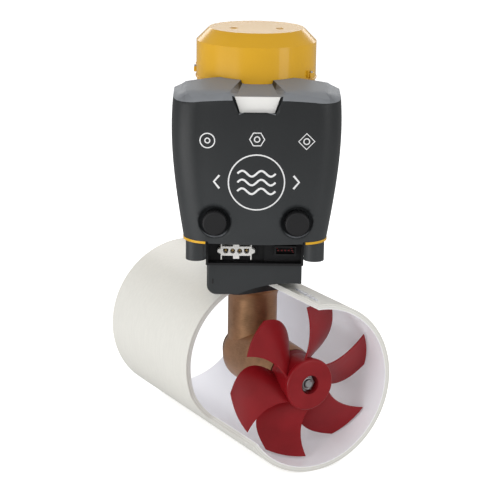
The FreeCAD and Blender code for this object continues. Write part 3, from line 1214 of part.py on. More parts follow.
def make_panel():
    """The recessed connector panel under the cover, with its two connectors."""
    half = dim.base_half_width + 1
    front = -dim.panel_front
    panel = block(Vector(-half, front, dim.base_top), Vector(half, -dim.bracket_front, dim.bracket_top))
    floor = front + dim.panel_recess
    rim = dim.panel_wall
    panel = panel.cut(block(Vector(-half + rim, front - 1, dim.base_top + rim),
                            Vector(half - rim, floor, dim.bracket_top - rim)))
    step = block(Vector(9, floor - 2, dim.base_top + rim),
                 Vector(half - rim, floor, dim.bracket_top - rim))
    panel = panel.fuse(step)
    level = dim.connector_level
    housing_half = dim.connector_pitch * dim.connector_ways / 2 + 1.4
    middle = Vector(dim.connector_x, 0, level)
    low = dim.connector_height / 2
    housing = block(middle + Vector(-housing_half, front, -low),
                    middle + Vector(housing_half, floor + 8, low))
    panel = panel.cut(housing)
    for end in (-1, 1):
        flange = block(middle + Vector(min(end * housing_half, end * (housing_half - 1)), front, -8),
                       middle + Vector(max(end * housing_half, end * (housing_half - 1)), floor, 8))
        nib = Part.Face(polygon([
            middle + Vector(end * housing_half, front, -2.6),
            middle + Vector(end * housing_half, front, 2.6),
            middle + Vector(end * (housing_half + 3), front, 1.2),
            middle + Vector(end * (housing_half + 3), front, -1.2)])).extrude(Vector(0, 6, 0))
        housing = housing.fuse([flange, nib])
    for low_edge, high_edge in ((low, 8.3), (-7.2, -low)):
        housing = housing.fuse(block(middle + Vector(-2.8, front, low_edge),
                                     middle + Vector(2.8, floor, high_edge)))
    pins = []
    for index in range(int(dim.connector_ways)):
        across = (index - (dim.connector_ways - 1) / 2) * dim.connector_pitch
        centre = middle + Vector(across, front, 0)
        well = rod(dim.connector_well, dim.panel_recess + 3, centre, Vector(0, 1, 0))
        housing = housing.cut(well)
        if index in (0, dim.connector_ways - 1):
            housing = housing.cut(block(
                centre - Vector(dim.connector_well, 0, 0),
                centre + Vector(dim.connector_well, dim.panel_recess + 3, dim.connector_well)))
        pins.append(rod(dim.contact_radius, dim.panel_recess, centre + Vector(0, 3, 0), Vector(0, 1, 0)))
    aux_half = dim.aux_width / 2
    aux = block(Vector(dim.aux_x - aux_half, front + 2, level - dim.aux_height / 2),
                Vector(dim.aux_x + aux_half, floor + 5, level + dim.aux_height / 2))
    panel = panel.cut(aux)
    aux = aux.cut(block(Vector(dim.aux_x - aux_half + 1.5, front + 1, level - dim.aux_height / 2 + 1.5),
                        Vector(dim.aux_x + aux_half - 1.5, front + 8, level + dim.aux_height / 2 - 1.5)))
    for index in range(5):
        across = dim.aux_x + (index - 2) * 3.2
        aux = aux.fuse(block(Vector(across - 0.4, front + 4, level - 0.4),
                             Vector(across + 0.4, front + 8, level + 0.4)))
    shape_part("connector_panel", panel)
    shape_part("control_connector", housing)
    shape_part("connector_contacts", Part.makeCompound(pins))
    shape_part("aux_connector", aux)


def make_spouts():
    """Two cable spouts under the plate, open below, each with a web that meets the panel."""
    spouts = []
    for side in (-1, 1):
        foot = Vector(side * dim.spout_x, -dim.spout_y, dim.spout_foot)
        height = dim.bracket_top - dim.spout_foot
        spout = rod(dim.spout_radius, height, foot)
        near = side * (dim.base_half_width + 1)
        far = side * dim.spout_x
        web = block(Vector(min(near, far), -dim.spout_y - dim.spout_radius * 0.6, dim.spout_foot + 2.5),
                    Vector(max(near, far), -dim.panel_front + 6, dim.bracket_top))
        spouts.append(spout.fuse(web).cut(rod(dim.spout_bore, height, foot)))
    shape_part("cable_spouts", Part.makeCompound(spouts))


make_tunnel()
make_saddle_gasket()
make_leg_gasket()
make_base_housing()
make_motor_bracket()
make_bolts()
make_tailpiece()
make_bearing_cap()
make_bearings()
make_bevel_pair()
make_shafts()
make_propeller()
make_propeller_fixings()
make_motor_shell()
make_field()
make_armature()
make_coupling()
make_motor_plate()
make_plate_fixings()
make_cover()
make_knobs()
make_control_frame()
make_switchgear()
make_panel()
make_spouts()

doc.recompute()
for thing in doc.Objects:
    if "Invalid" in thing.State or "Error" in thing.State:
        raise RuntimeError(f"{thing.Name} failed: {thing.State}")
for thing in subparts:
    if thing.Shape.isNull() or not thing.Shape.isValid():
        raise RuntimeError(f"{thing.Label} has no valid shape")

os.makedirs("parts", exist_ok=True)
for thing in subparts:
    thing.Shape.exportStep(f"parts/{thing.Label}.step")
print(len(subparts), "sub-parts written")
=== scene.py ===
import json
import math

import bmesh
import bpy
from bpy.props import FloatProperty, FloatVectorProperty, PointerProperty
from mathutils import Matrix, Vector
from mathutils.bvhtree import BVHTree


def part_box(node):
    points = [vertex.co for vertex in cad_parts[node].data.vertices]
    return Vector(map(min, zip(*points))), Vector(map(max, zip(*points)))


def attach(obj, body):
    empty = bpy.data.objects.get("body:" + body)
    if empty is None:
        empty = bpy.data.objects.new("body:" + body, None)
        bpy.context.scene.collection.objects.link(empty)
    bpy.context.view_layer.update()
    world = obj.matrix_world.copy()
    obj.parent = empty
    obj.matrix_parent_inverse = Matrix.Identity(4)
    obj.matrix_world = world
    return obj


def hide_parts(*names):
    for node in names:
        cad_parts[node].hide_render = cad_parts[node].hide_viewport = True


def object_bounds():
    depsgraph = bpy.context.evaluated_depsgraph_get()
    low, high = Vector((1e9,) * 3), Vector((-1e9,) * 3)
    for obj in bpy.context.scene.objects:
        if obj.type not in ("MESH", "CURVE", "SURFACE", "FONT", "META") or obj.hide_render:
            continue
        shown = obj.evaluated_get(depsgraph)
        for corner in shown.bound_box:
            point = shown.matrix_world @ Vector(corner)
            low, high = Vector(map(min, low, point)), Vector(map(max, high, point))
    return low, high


bl_info = {
    "name": "Bow thruster looks",
    "version": (1, 0, 0),
    "blender": (4, 5, 0),
    "location": "3D View > Sidebar > Thruster",
    "description": "Finishes and fine pieces for a tunnel bow thruster around its CAD frame",
    "category": "Object",
}

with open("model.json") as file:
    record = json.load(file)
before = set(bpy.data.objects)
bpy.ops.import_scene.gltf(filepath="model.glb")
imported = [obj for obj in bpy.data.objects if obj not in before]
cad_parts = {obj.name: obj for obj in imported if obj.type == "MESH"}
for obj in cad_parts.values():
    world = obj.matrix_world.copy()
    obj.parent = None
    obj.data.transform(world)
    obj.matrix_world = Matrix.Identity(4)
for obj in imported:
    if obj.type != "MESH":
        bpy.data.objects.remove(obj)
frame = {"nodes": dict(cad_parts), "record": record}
CAD_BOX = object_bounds()
MM = 0.001

# The leg axis is upright; the tunnel axis runs level through the frame's origin. Lengths with MM
# are in metres. Plain ones are in millimetres, for head_point and for the cover's shape.
TUNNEL_TURN = math.radians(29.2)
TUNNEL_AXIS = Vector((math.sin(TUNNEL_TURN), -math.cos(TUNNEL_TURN), 0))
LEG_FROM_TUNNEL_END = 144.7 * MM
LEG_AXIS = TUNNEL_AXIS * LEG_FROM_TUNNEL_END
UP = Vector((0, 0, 1))
TUNNEL_SIDE = UP.cross(TUNNEL_AXIS)
TUNNEL_RADIUS = 80.0 * MM
TUNNEL_BORE = 75.0 * MM
TUNNEL_MOUTH = 118.3 * MM
MOTOR_RADIUS = 55.4 * MM
MOTOR_TOP = 315.2 * MM
MOTOR_CAP_HEIGHT = 44.7 * MM


def head_point(across, along, level):
    """A point given in millimetres from the leg axis, with along counted towards the rear."""
    return LEG_AXIS + Vector((across, along, level)) * MM


def tunnel_point(along, turn, radius):
    """A point given by its way past the leg, its turn from the top and its radius, in metres."""
    outward = UP * math.cos(turn) + TUNNEL_SIDE * math.sin(turn)
    return LEG_AXIS + TUNNEL_AXIS * along + outward * radius


# ---- sizes and colours that a user would change --------------------------------------------------

def colour_setting(name, description, value):
    """A colour that the add-on's panel shows."""
    return FloatVectorProperty(name=name, description=description, subtype="COLOR", size=3,
                               min=0.0, max=1.0, default=value)


def length_setting(name, description, value):
    """A length that the add-on's panel shows, in metres."""
    return FloatProperty(name=name, description=description, default=value, min=0.0,
                         subtype="DISTANCE", unit="LENGTH")


class ThrusterColours(bpy.types.PropertyGroup):
    laminate: colour_setting("Laminate", "Glass-fibre tunnel", (0.76, 0.75, 0.70))
    bronze: colour_setting("Bronze", "Cast leg and bearing cap", (0.36, 0.20, 0.105))
    steel: colour_setting("Steel", "Screws, shafts and sheet metal", (0.55, 0.55, 0.56))
    paint: colour_setting("Paint", "Motor and motor plate", (0.74, 0.40, 0.015))
    housing: colour_setting("Housing", "Moulded cover and base housing", (0.034, 0.037, 0.039))
    black: colour_setting("Black plastic", "Knobs and connector panel", (0.012, 0.012, 0.013))
    white: colour_setting("White plastic", "Plaque and control connector", (0.80, 0.79, 0.76))
    propeller: colour_setting("Propeller", "Moulded propeller", (0.25, 0.006, 0.010))
    rubber: colour_setting("Rubber", "Gaskets, seals and coupling star", (0.014, 0.014, 0.014))
    copper: colour_setting("Copper", "Windings, commutator and strap", (0.66, 0.27, 0.13))
    brass: colour_setting("Brass", "Contacts and battery posts", (0.62, 0.42, 0.14))
    ferrite: colour_setting("Ferrite", "Field magnets", (0.045, 0.045, 0.05))
    carbon: colour_setting("Carbon", "Brushes", (0.02, 0.02, 0.022))
    alloy: colour_setting("Cast alloy", "Motor bracket and end shield", (0.36, 0.37, 0.38))
    ink: colour_setting("Ink", "Printed line motif on the cover", (0.84, 0.84, 0.84))
    gel: colour_setting("Gel coat", "White smear on top of the tunnel", (0.84, 0.85, 0.90))
    dark_red: colour_setting("Dark red", "Pins of the second connector", (0.16, 0.012, 0.014))


class ThrusterSizes(bpy.types.PropertyGroup):
    print_height: length_setting("Print thickness", "Height of the print over the cover", 0.1 * MM)
    print_line: length_setting("Line width", "Width of the printed lines", 1.0 * MM)
    moulding_grain: length_setting("Moulding grain", "Texture size of the moulded cover", 0.6 * MM)
    floor_reach: length_setting("Floor reach", "Half width of the floor", 6.0)


# ---- node helpers --------------------------------------------------------------------------------

def new_finish(name, colour, roughness, metallic=0.0):
    """A material with a Principled shader, and the shader."""
    material = bpy.data.materials.new(name)
    material.use_nodes = True
    shader = material.node_tree.nodes["Principled BSDF"]
    shader.inputs["Base Color"].default_value = (*colour, 1.0)
    shader.inputs["Roughness"].default_value = roughness
    shader.inputs["Metallic"].default_value = metallic
    return material, shader


def object_vector(tree, stretch=(1.0, 1.0, 1.0), turn=(0.0, 0.0, 0.0)):
    """The object's own coordinates, stretched and turned."""
    coordinates = tree.nodes.new("ShaderNodeTexCoord")
    mapping = tree.nodes.new("ShaderNodeMapping")
    mapping.inputs["Scale"].default_value = stretch
    mapping.inputs["Rotation"].default_value = turn
    tree.links.new(coordinates.outputs["Object"], mapping.inputs["Vector"])
    return mapping.outputs["Vector"]


def noise(tree, vector, size, detail=4.0, roughness=0.5):
    """Soft noise whose blotches are about one size across, in metres."""
    texture = tree.nodes.new("ShaderNodeTexNoise")
    texture.inputs["Scale"].default_value = 1.0 / size
    texture.inputs["Detail"].default_value = detail
    texture.inputs["Roughness"].default_value = roughness
    tree.links.new(vector, texture.inputs["Vector"])
    return texture.outputs["Fac"]


def remap(tree, value, low, high, new_low, new_high):
    """A value carried from one range to another, and held at its ends."""
    node = tree.nodes.new("ShaderNodeMapRange")
    node.inputs["From Min"].default_value = low
    node.inputs["From Max"].default_value = high
    node.inputs["To Min"].default_value = new_low
    node.inputs["To Max"].default_value = new_high
    tree.links.new(value, node.inputs["Value"])
    return node.outputs["Result"]


def arithmetic(tree, operation, first, second):
    """One sum on two values, each given as a number or as a socket."""
    node = tree.nodes.new("ShaderNodeMath")
    node.operation = operation
    for socket, value in zip(node.inputs, (first, second)):
        if isinstance(value, float):
            socket.default_value = value
        else:
            tree.links.new(value, socket)
    return node.outputs["Value"]


def tint(tree, factor, first, second):
    """Mixes two colours, each given as a colour or as a socket."""
    node = tree.nodes.new("ShaderNodeMix")
    node.data_type = "RGBA"
    tree.links.new(factor, node.inputs["Factor"])
    for socket, value in ((node.inputs[6], first), (node.inputs[7], second)):
        if isinstance(value, bpy.types.NodeSocket):
            tree.links.new(value, socket)
        else:
            socket.default_value = (*value, 1.0)
    return node.outputs[2]


def bump(tree, shader, height, depth, strength):
    """Roughens a shader's surface by a height between 0 and 1, times a depth in metres."""
    node = tree.nodes.new("ShaderNodeBump")
    node.inputs["Strength"].default_value = strength
    node.inputs["Distance"].default_value = depth
    tree.links.new(height, node.inputs["Height"])
    tree.links.new(node.outputs["Normal"], shader.inputs["Normal"])


def scaled(colour, share):
    """A colour made darker or lighter."""
    return tuple(min(1.0, channel * share) for channel in colour)


def vector_maths(tree, operation, first, second=None):
    """One sum on a vector socket, with a second socket or fixed vector where it needs one."""
    node = tree.nodes.new("ShaderNodeVectorMath")
    node.operation = operation
    tree.links.new(first, node.inputs[0])
    if isinstance(second, bpy.types.NodeSocket):
        tree.links.new(second, node.inputs[1])
    elif second is not None:
        node.inputs[1].default_value = second
    return node


# ---- finishes ------------------------------------------------------------------------------------

# how deep each skin of the laminate is, and the painted glow on its inside that stands for light
# coming through the wall
LAMINATE_SKIN = 0.3 * MM
PAINTED_THROUGH_GLOW = 0.08
PAINTED_GLOW_COLOUR = (0.93, 0.94, 1.0, 1.0)

# painted shade darkens the housing's plastic between two levels, and a painted sheen lightens it
# where its normal points up
HOUSING_SHADE_LEVELS = (150.0 * MM, 250.0 * MM)
PAINTED_SHEEN_COLOUR = (0.25, 0.262, 0.28)
SHEEN_FACING_UP = (0.55, 0.85)


def laminate_finish(colour):
    """Wound glass fibre: cream outside, bluer gel coat inside with a painted glow, sawn edges with
    rough layers.
    """
    material, shader = new_finish("laminate", colour, 0.42)
    tree = material.node_tree
    point = object_vector(tree)
    along = vector_maths(tree, "DOT_PRODUCT", point, TUNNEL_AXIS).outputs["Value"]
    axis = tree.nodes.new("ShaderNodeCombineXYZ")
    for socket, part in zip(axis.inputs, TUNNEL_AXIS):
        tree.links.new(arithmetic(tree, "MULTIPLY", along, float(part)), socket)
    away = vector_maths(tree, "SUBTRACT", point, axis.outputs["Vector"]).outputs["Vector"]
    radius = vector_maths(tree, "LENGTH", away).outputs["Value"]
    outer = remap(tree, radius, TUNNEL_BORE + LAMINATE_SKIN, TUNNEL_RADIUS - LAMINATE_SKIN,
                  0.0, 1.0)
    clouds = noise(tree, point, 60 * MM, 3.0)
    fibres = noise(tree, object_vector(tree, (1.0, 1.0, 0.12)), 3 * MM, 5.0, 0.6)
    inside = tint(tree, clouds, (0.86, 0.86, 0.88), (0.90, 0.90, 0.95))
    outside = tint(tree, fibres, scaled(colour, 0.94), scaled(colour, 1.06))
    surface = tint(tree, outer, inside, outside)
    layers = tree.nodes.new("ShaderNodeTexWave")
    layers.wave_type = "BANDS"
    layers.bands_direction = "X"
    layers.inputs["Scale"].default_value = 180.0
    layers.inputs["Distortion"].default_value = 1.5
    radial = tree.nodes.new("ShaderNodeCombineXYZ")
    tree.links.new(radius, radial.inputs["X"])
    tree.links.new(radial.outputs["Vector"], layers.inputs["Vector"])
    middle = arithmetic(tree, "SUBTRACT", outer, 0.5)
    edge = arithmetic(tree, "LESS_THAN", arithmetic(tree, "ABSOLUTE", middle, 0.0), 0.49)
    chips = noise(tree, point, 5 * MM, 6.0, 0.7)
    rough_edge = tint(tree, layers.outputs["Fac"], scaled(colour, 0.80), scaled(colour, 1.0))
    sawn = tint(tree, remap(tree, chips, 0.45, 0.6, 0.0, 1.0), rough_edge, scaled(colour, 0.90))
    tree.links.new(tint(tree, edge, surface, sawn), shader.inputs["Base Color"])
    tree.links.new(remap(tree, edge, 0.0, 1.0, 0.34, 0.75), shader.inputs["Roughness"])
    weave = arithmetic(tree, "MULTIPLY", fibres, remap(tree, outer, 0.0, 1.0, 0.15, 1.0))
    bump(tree, shader, weave, 0.35 * MM, 0.5)
    # painted glow: emission, strongest on the inner face, stands for light that passes the laminate
    # wall
    through = remap(tree, outer, 0.0, 1.0, PAINTED_THROUGH_GLOW, 0.0)
    shader.inputs["Emission Color"].default_value = PAINTED_GLOW_COLOUR
    tree.links.new(through, shader.inputs["Emission Strength"])
    return material


def cast_bronze_finish(colour):
    """Cast bronze: brown patches, fine turned marks and small pits."""
    material, shader = new_finish("cast_bronze", colour, 0.38, 0.85)
    tree = material.node_tree
    point = object_vector(tree)
    patches = noise(tree, point, 22 * MM, 6.0, 0.62)
    marks = noise(tree, object_vector(tree, (1.0, 1.0, 14.0)), 6 * MM, 4.0, 0.6)
    warm = tint(tree, remap(tree, patches, 0.35, 0.68, 0.0, 1.0), scaled(colour, 0.72),
                scaled(colour, 1.35))
    worn = tint(tree, remap(tree, marks, 0.3, 0.8, 0.0, 0.5), warm, scaled(colour, 1.55))
    tree.links.new(worn, shader.inputs["Base Color"])
    tree.links.new(remap(tree, patches, 0.3, 0.7, 0.30, 0.50), shader.inputs["Roughness"])
    pits = noise(tree, point, 1.6 * MM, 5.0, 0.7)
    grain = arithmetic(tree, "ADD", arithmetic(tree, "MULTIPLY", pits, 0.5), marks)
    bump(tree, shader, grain, 0.12 * MM, 0.5)
    return material


def machined_finish(name, colour, roughness=0.28):
    """Bright metal with fine brushed lines and faint stains."""
    material, shader = new_finish(name, colour, roughness, 1.0)
    tree = material.node_tree
    stains = noise(tree, object_vector(tree), 9 * MM, 4.0)
    lines = noise(tree, object_vector(tree, (1.0, 1.0, 25.0)), 4 * MM, 3.0)
    shade = tint(tree, remap(tree, stains, 0.35, 0.7, 0.0, 1.0), scaled(colour, 0.8),
                 scaled(colour, 1.1))
    tree.links.new(shade, shader.inputs["Base Color"])
    tree.links.new(remap(tree, stains, 0.3, 0.7, roughness * 0.8, roughness * 1.3),
                   shader.inputs["Roughness"])
    bump(tree, shader, lines, 0.03 * MM, 0.4)
    return material


def gloss_paint_finish(colour):
    """Thick glossy paint over steel, with orange peel and a slightly duller tone in places."""
    material, shader = new_finish("gloss_paint", colour, 0.26)
    tree = material.node_tree
    point = object_vector(tree)
    clouds = noise(tree, point, 70 * MM, 2.0)
    shade = tint(tree, remap(tree, clouds, 0.3, 0.7, 0.0, 1.0), scaled(colour, 0.93),
                 scaled(colour, 1.05))
    tree.links.new(shade, shader.inputs["Base Color"])
    shader.inputs["Coat Weight"].default_value = 0.3
    shader.inputs["Coat Roughness"].default_value = 0.06
    shader.inputs["Specular IOR Level"].default_value = 0.3
    peel = noise(tree, point, 2.5 * MM, 2.0)
    bump(tree, shader, peel, 0.04 * MM, 0.35)
    return material


def moulded_finish(name, colour, roughness, grain, shade_levels=None):
    """Moulded plastic with a fine spark-eroded grain and faint flow marks.

    The shade levels give two heights between which painted shade darkens the plastic upward.
    Where such plastic faces up, a painted sheen makes it lighter.
    """
    material, shader = new_finish(name, colour, roughness)
    shader.inputs["Specular IOR Level"].default_value = 0.4
    tree = material.node_tree
    point = object_vector(tree)
    flow = noise(tree, point, 45 * MM, 3.0)
    fine = noise(tree, point, grain, 3.0, 0.6)
    base = tint(tree, remap(tree, flow, 0.3, 0.7, 0.0, 1.0), scaled(colour, 0.94),
                scaled(colour, 1.06))
    flecks_shade_and_sheen = tint(tree, remap(tree, fine, 0.3, 0.7, 0.0, 0.12), base, scaled(colour, 1.8))
    if shade_levels:
        # painted shade: the colour darkens upward between the two shade levels
        split = tree.nodes.new("ShaderNodeSeparateXYZ")
        tree.links.new(point, split.inputs["Vector"])
        share = remap(tree, split.outputs["Z"], *shade_levels, 0.0, 0.55)
        flecks_shade_and_sheen = tint(tree, share, flecks_shade_and_sheen, scaled(colour, 0.25))
        # painted sheen: faces whose normal points up get a lighter grey
        surface = tree.nodes.new("ShaderNodeNewGeometry")
        facing = tree.nodes.new("ShaderNodeSeparateXYZ")
        tree.links.new(surface.outputs["True Normal"], facing.inputs["Vector"])
        upward = remap(tree, facing.outputs["Z"], *SHEEN_FACING_UP, 0.0, 1.0)
        flecks_shade_and_sheen = tint(tree, upward, flecks_shade_and_sheen, PAINTED_SHEEN_COLOUR)
    tree.links.new(flecks_shade_and_sheen, shader.inputs["Base Color"])
    tree.links.new(remap(tree, fine, 0.3, 0.7, roughness - 0.06, roughness + 0.08),
                   shader.inputs["Roughness"])
    bump(tree, shader, fine, 0.06 * MM, 0.5)
    return material


def propeller_finish(colour):
    """Red moulded propeller: satin, with flow marks that run out from the hub."""
    material, shader = new_finish("propeller_red", colour, 0.36)
    shader.inputs["Specular IOR Level"].default_value = 0.3
    tree = material.node_tree
    point = object_vector(tree)
    flow = noise(tree, point, 30 * MM, 4.0, 0.6)
    shade = tint(tree, remap(tree, flow, 0.3, 0.7, 0.0, 1.0), scaled(colour, 0.88),
                 scaled(colour, 1.12))
    tree.links.new(shade, shader.inputs["Base Color"])
    tree.links.new(remap(tree, flow, 0.3, 0.7, 0.30, 0.42), shader.inputs["Roughness"])
    fine = noise(tree, point, 0.8 * MM, 2.0)
    bump(tree, shader, fine, 0.03 * MM, 0.4)
    shader.inputs["Subsurface Weight"].default_value = 0.05
    shader.inputs["Subsurface Scale"].default_value = 2 * MM
    return material


def rough_black_finish(name, colour, grain):
    """Rubber, ferrite or carbon: dull, with a fine grain and dusty patches."""
    material, shader = new_finish(name, colour, 0.7)
    tree = material.node_tree
    point = object_vector(tree)
    dust = noise(tree, point, 14 * MM, 5.0, 0.65)
    shade = tint(tree, remap(tree, dust, 0.4, 0.75, 0.0, 0.5), colour, scaled(colour, 2.2))
    tree.links.new(shade, shader.inputs["Base Color"])
    tree.links.new(remap(tree, dust, 0.3, 0.7, 0.58, 0.78), shader.inputs["Roughness"])
    bump(tree, shader, noise(tree, point, grain, 3.0), 0.05 * MM, 0.5)
    return material


def winding_finish(colour):
    """Enamelled copper wire, laid side by side."""
    material, shader = new_finish("winding_copper", colour, 0.3, 0.9)
    tree = material.node_tree
    wires = tree.nodes.new("ShaderNodeTexWave")
    wires.inputs["Scale"].default_value = 260.0
    wires.inputs["Distortion"].default_value = 2.0
    tree.links.new(object_vector(tree, turn=(0.3, 0.5, 0.0)), wires.inputs["Vector"])
    shade = tint(tree, wires.outputs["Fac"], scaled(colour, 0.45), colour)
    tree.links.new(shade, shader.inputs["Base Color"])
    bump(tree, shader, wires.outputs["Fac"], 0.3 * MM, 0.7)
    return material


def ink_finish(name, colour, roughness):
    """Screen-printed ink or brushed gel coat, very slightly uneven."""
    material, shader = new_finish(name, colour, roughness)
    tree = material.node_tree
    cover = noise(tree, object_vector(tree), 1.2 * MM, 3.0)
    shade = tint(tree, remap(tree, cover, 0.3, 0.7, 0.0, 1.0), scaled(colour, 0.9), colour)
    tree.links.new(shade, shader.inputs["Base Color"])
    return material


_finishes = {}


def finish_for(slot):
    """The material for a slot of the record or of this file, made once."""
    if slot not in _finishes:
        colours = bpy.context.scene.thruster_colours
        grain = bpy.context.scene.thruster_sizes.moulding_grain
        makers = {
            "grp": lambda: laminate_finish(colours.laminate),
            "bronze": lambda: cast_bronze_finish(colours.bronze),
            "steel": lambda: machined_finish("bright_steel", colours.steel),
            "yellow_paint": lambda: gloss_paint_finish(colours.paint),
            "grey_moulding": lambda: moulded_finish(
                "housing_grey", colours.housing, 0.42, grain, shade_levels=HOUSING_SHADE_LEVELS),
            "black_moulding": lambda: moulded_finish("moulded_black", colours.black, 0.5, grain),
            "white_moulding": lambda: moulded_finish("moulded_white", colours.white, 0.35, grain),
            "red_moulding": lambda: propeller_finish(colours.propeller),
            "rubber": lambda: rough_black_finish("black_rubber", colours.rubber, 1.0 * MM),
            "copper": lambda: winding_finish(colours.copper),
            "brass": lambda: machined_finish("plain_brass", colours.brass, 0.3),
            "ferrite": lambda: rough_black_finish("sintered_ferrite", colours.ferrite, 0.7 * MM),
            "carbon": lambda: rough_black_finish("brush_carbon", colours.carbon, 0.4 * MM),
            "cast_alloy": lambda: machined_finish("cast_alloy", colours.alloy, 0.45),
            "ink": lambda: ink_finish("print_ink", colours.ink, 0.5),
            "gel": lambda: ink_finish("gel_coat", colours.gel, 0.25),
            "dark_red": lambda: moulded_finish("dark_red", colours.dark_red, 0.4, grain),
        }
        _finishes[slot] = makers[slot]()
    return _finishes[slot]


SLOTS = {part["node"]: part["material_slot"] for part in frame["record"]["subparts"]}


def dress(*nodes):
    """Gives CAD nodes the finish of their slots."""
    for node in nodes:
        piece = frame["nodes"][node]
        material = finish_for(SLOTS[node])
        if not piece.material_slots:
            piece.data.materials.append(material)
        for slot in piece.material_slots:
            slot.material = material


# ---- mesh helpers --------------------------------------------------------------------------------

def new_piece(name, mesh, body, slot, smooth=True):
    """Turns a bmesh into a piece that rides on a CAD body and takes a slot's finish."""
    data = bpy.data.meshes.new(name)
    bmesh.ops.recalc_face_normals(mesh, faces=mesh.faces)
    mesh.to_mesh(data)
    mesh.free()
    for face in data.polygons:
        face.use_smooth = smooth
    piece = bpy.data.objects.new(name, data)
    bpy.context.scene.collection.objects.link(piece)
    data.materials.append(finish_for(slot))
    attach(piece, body)
    return piece


def ribbon(mesh, rails, height, normals):
    """A closed strip between pairs of rail points, raised along the normals by a height."""
    sections = []
    for (left, right), normal in zip(rails, normals):
        lift = normal * height
        sections.append([mesh.verts.new(point) for point in
                         (left - lift, left + lift, right + lift, right - lift)])
    for before, after in zip(sections, sections[1:]):
        for corner in range(4):
            following = (corner + 1) % 4
            mesh.faces.new((before[corner], before[following], after[following], after[corner]))
    mesh.faces.new(sections[0])
    mesh.faces.new(reversed(sections[-1]))


def add_cylinder(mesh, radius, end_radius, depth, centre, axis, segments=32):
    """Adds a capped cylinder or cone whose middle and axis are given."""
    turn = UP.rotation_difference(axis).to_matrix().to_4x4()
    bmesh.ops.create_cone(mesh, cap_ends=True, segments=segments, radius1=radius,
                          radius2=end_radius, depth=depth, matrix=Matrix.Translation(centre) @ turn)


def add_box(mesh, size, centre, turn=0.0, edge=0.0):
    """Adds a box of the given size, turned about the upright, with bevelled edges."""
    stretch = Matrix.Diagonal((*size, 1.0))
    place = Matrix.Translation(centre) @ Matrix.Rotation(turn, 4, "Z") @ stretch
    made = bmesh.ops.create_cube(mesh, size=1.0, matrix=place)
    if edge:
        edges = {side for corner in made["verts"] for side in corner.link_edges}
        bmesh.ops.bevel(mesh, geom=list(edges), offset=edge, segments=2, profile=0.5,
                        affect="EDGES", material=-1)


def add_ring(mesh, inner, outer, height, centre, axis, segments=40):
    """Adds a flat ring with a square section round an axis."""
    turn = Matrix.Translation(centre) @ UP.rotation_difference(axis).to_matrix().to_4x4()
    angles = [2 * math.pi * step / segments for step in range(segments)]
    circles = []
    for radius, level in ((inner, 0), (outer, 0), (outer, height), (inner, height)):
        corners = [Vector((radius * math.cos(angle), radius * math.sin(angle), level))
                   for angle in angles]
        circles.append([mesh.verts.new(turn @ corner) for corner in corners])
    for corner in range(4):
        near, far = circles[corner], circles[(corner + 1) % 4]
        for step in range(segments):
            after = (step + 1) % segments
            mesh.faces.new((near[step], near[after], far[after], far[step]))


# ---- tunnel details ------------------------------------------------------------------------------

def ragged(way, seed):
    """An uneven edge between 0 and 1 made of a few waves."""
    waves = (math.sin(way * 2.3 + seed) + 0.7 * math.sin(way * 5.9 + 2 * seed)
             + 0.5 * math.sin(way * 13.7 + 3 * seed))
    return 0.5 + waves / 4.4


def skin_strip(mesh, sections, height):
    """A ribbon on the tunnel's skin.

    Each section gives its two edges, as a way past the leg and a turn, and the turn that it is
    raised in.
    """
    rails = [(tunnel_point(*near, TUNNEL_RADIUS), tunnel_point(*far, TUNNEL_RADIUS))
             for near, far, turn in sections]
    normals = [tunnel_point(0, turn, 1.0) - LEG_AXIS for near, far, turn in sections]
    ribbon(mesh, rails, height, normals)


FRINGE_START = 17.0 * MM
FRINGE_INSET = 0.3 * MM
FRINGE_HEIGHT = 0.12 * MM
GEL_HEIGHT = 0.22 * MM


def make_sawn_fringe():
    """Whitish torn fibres along the window's straight top edge and round the mouth."""
    mesh = bmesh.new()
    edge = []
    steps = 90
    reach = TUNNEL_MOUTH - 1 * MM - FRINGE_START
    for step in range(steps + 1):
        along = FRINGE_START + reach * step / steps
        width = (0.6 + 2.6 * ragged(along / MM * 0.35, 1.3)) * MM
        edge.append(((along, FRINGE_INSET / TUNNEL_RADIUS), (along, width / TUNNEL_RADIUS), 0.0))
    skin_strip(mesh, edge, FRINGE_HEIGHT)
    mouth = []
    steps = 240
    end = TUNNEL_MOUTH - FRINGE_INSET
    for step in range(steps + 1):
        turn = math.radians(1.0 + 233.0 * step / steps)
        width = (0.5 + 1.8 * ragged(turn * 24, 0.4)) * MM
        mouth.append(((end, turn), (end - width, turn), turn))
    skin_strip(mesh, mouth, FRINGE_HEIGHT)
    new_piece("sawn_fringe", mesh, "housing", "grp", smooth=False)


def make_gel_run():
    """A smear of white gel coat on top of the tunnel, between the housing and the mouth."""
    mesh = bmesh.new()
    smear = []
    steps = 60
    for step in range(steps + 1):
        share = step / steps
        along = (62.0 + 46.0 * share) * MM
        swell = math.sqrt(max(0.0, math.sin(math.pi * share)))
        middle = (9.0 - 3.5 * share) * MM
        near = middle - (1.0 + 3.0 * ragged(share * 14, 2.1)) * swell * MM - 0.2 * MM
        far = middle + (1.0 + 4.0 * ragged(share * 17, 5.2)) * swell * MM + 0.2 * MM
        smear.append(((along, near / TUNNEL_RADIUS), (along, far / TUNNEL_RADIUS),
                      middle / TUNNEL_RADIUS))
    skin_strip(mesh, smear, GEL_HEIGHT)
    new_piece("gel_run", mesh, "housing", "gel")


# ---- motor details -------------------------------------------------------------------------------

def make_motor_dimples():
    """Two shallow pressed marks on the motor's top, each with a low lip."""
    mesh = bmesh.new()
    for across in (-21.0, 21.0):
        add_ring(mesh, 2.6 * MM, 3.6 * MM, 0.35 * MM,
                 head_point(across, -9.0, 0) + UP * (MOTOR_TOP - 0.05 * MM), UP)
    new_piece("motor_dimples", mesh, "housing", "yellow_paint")


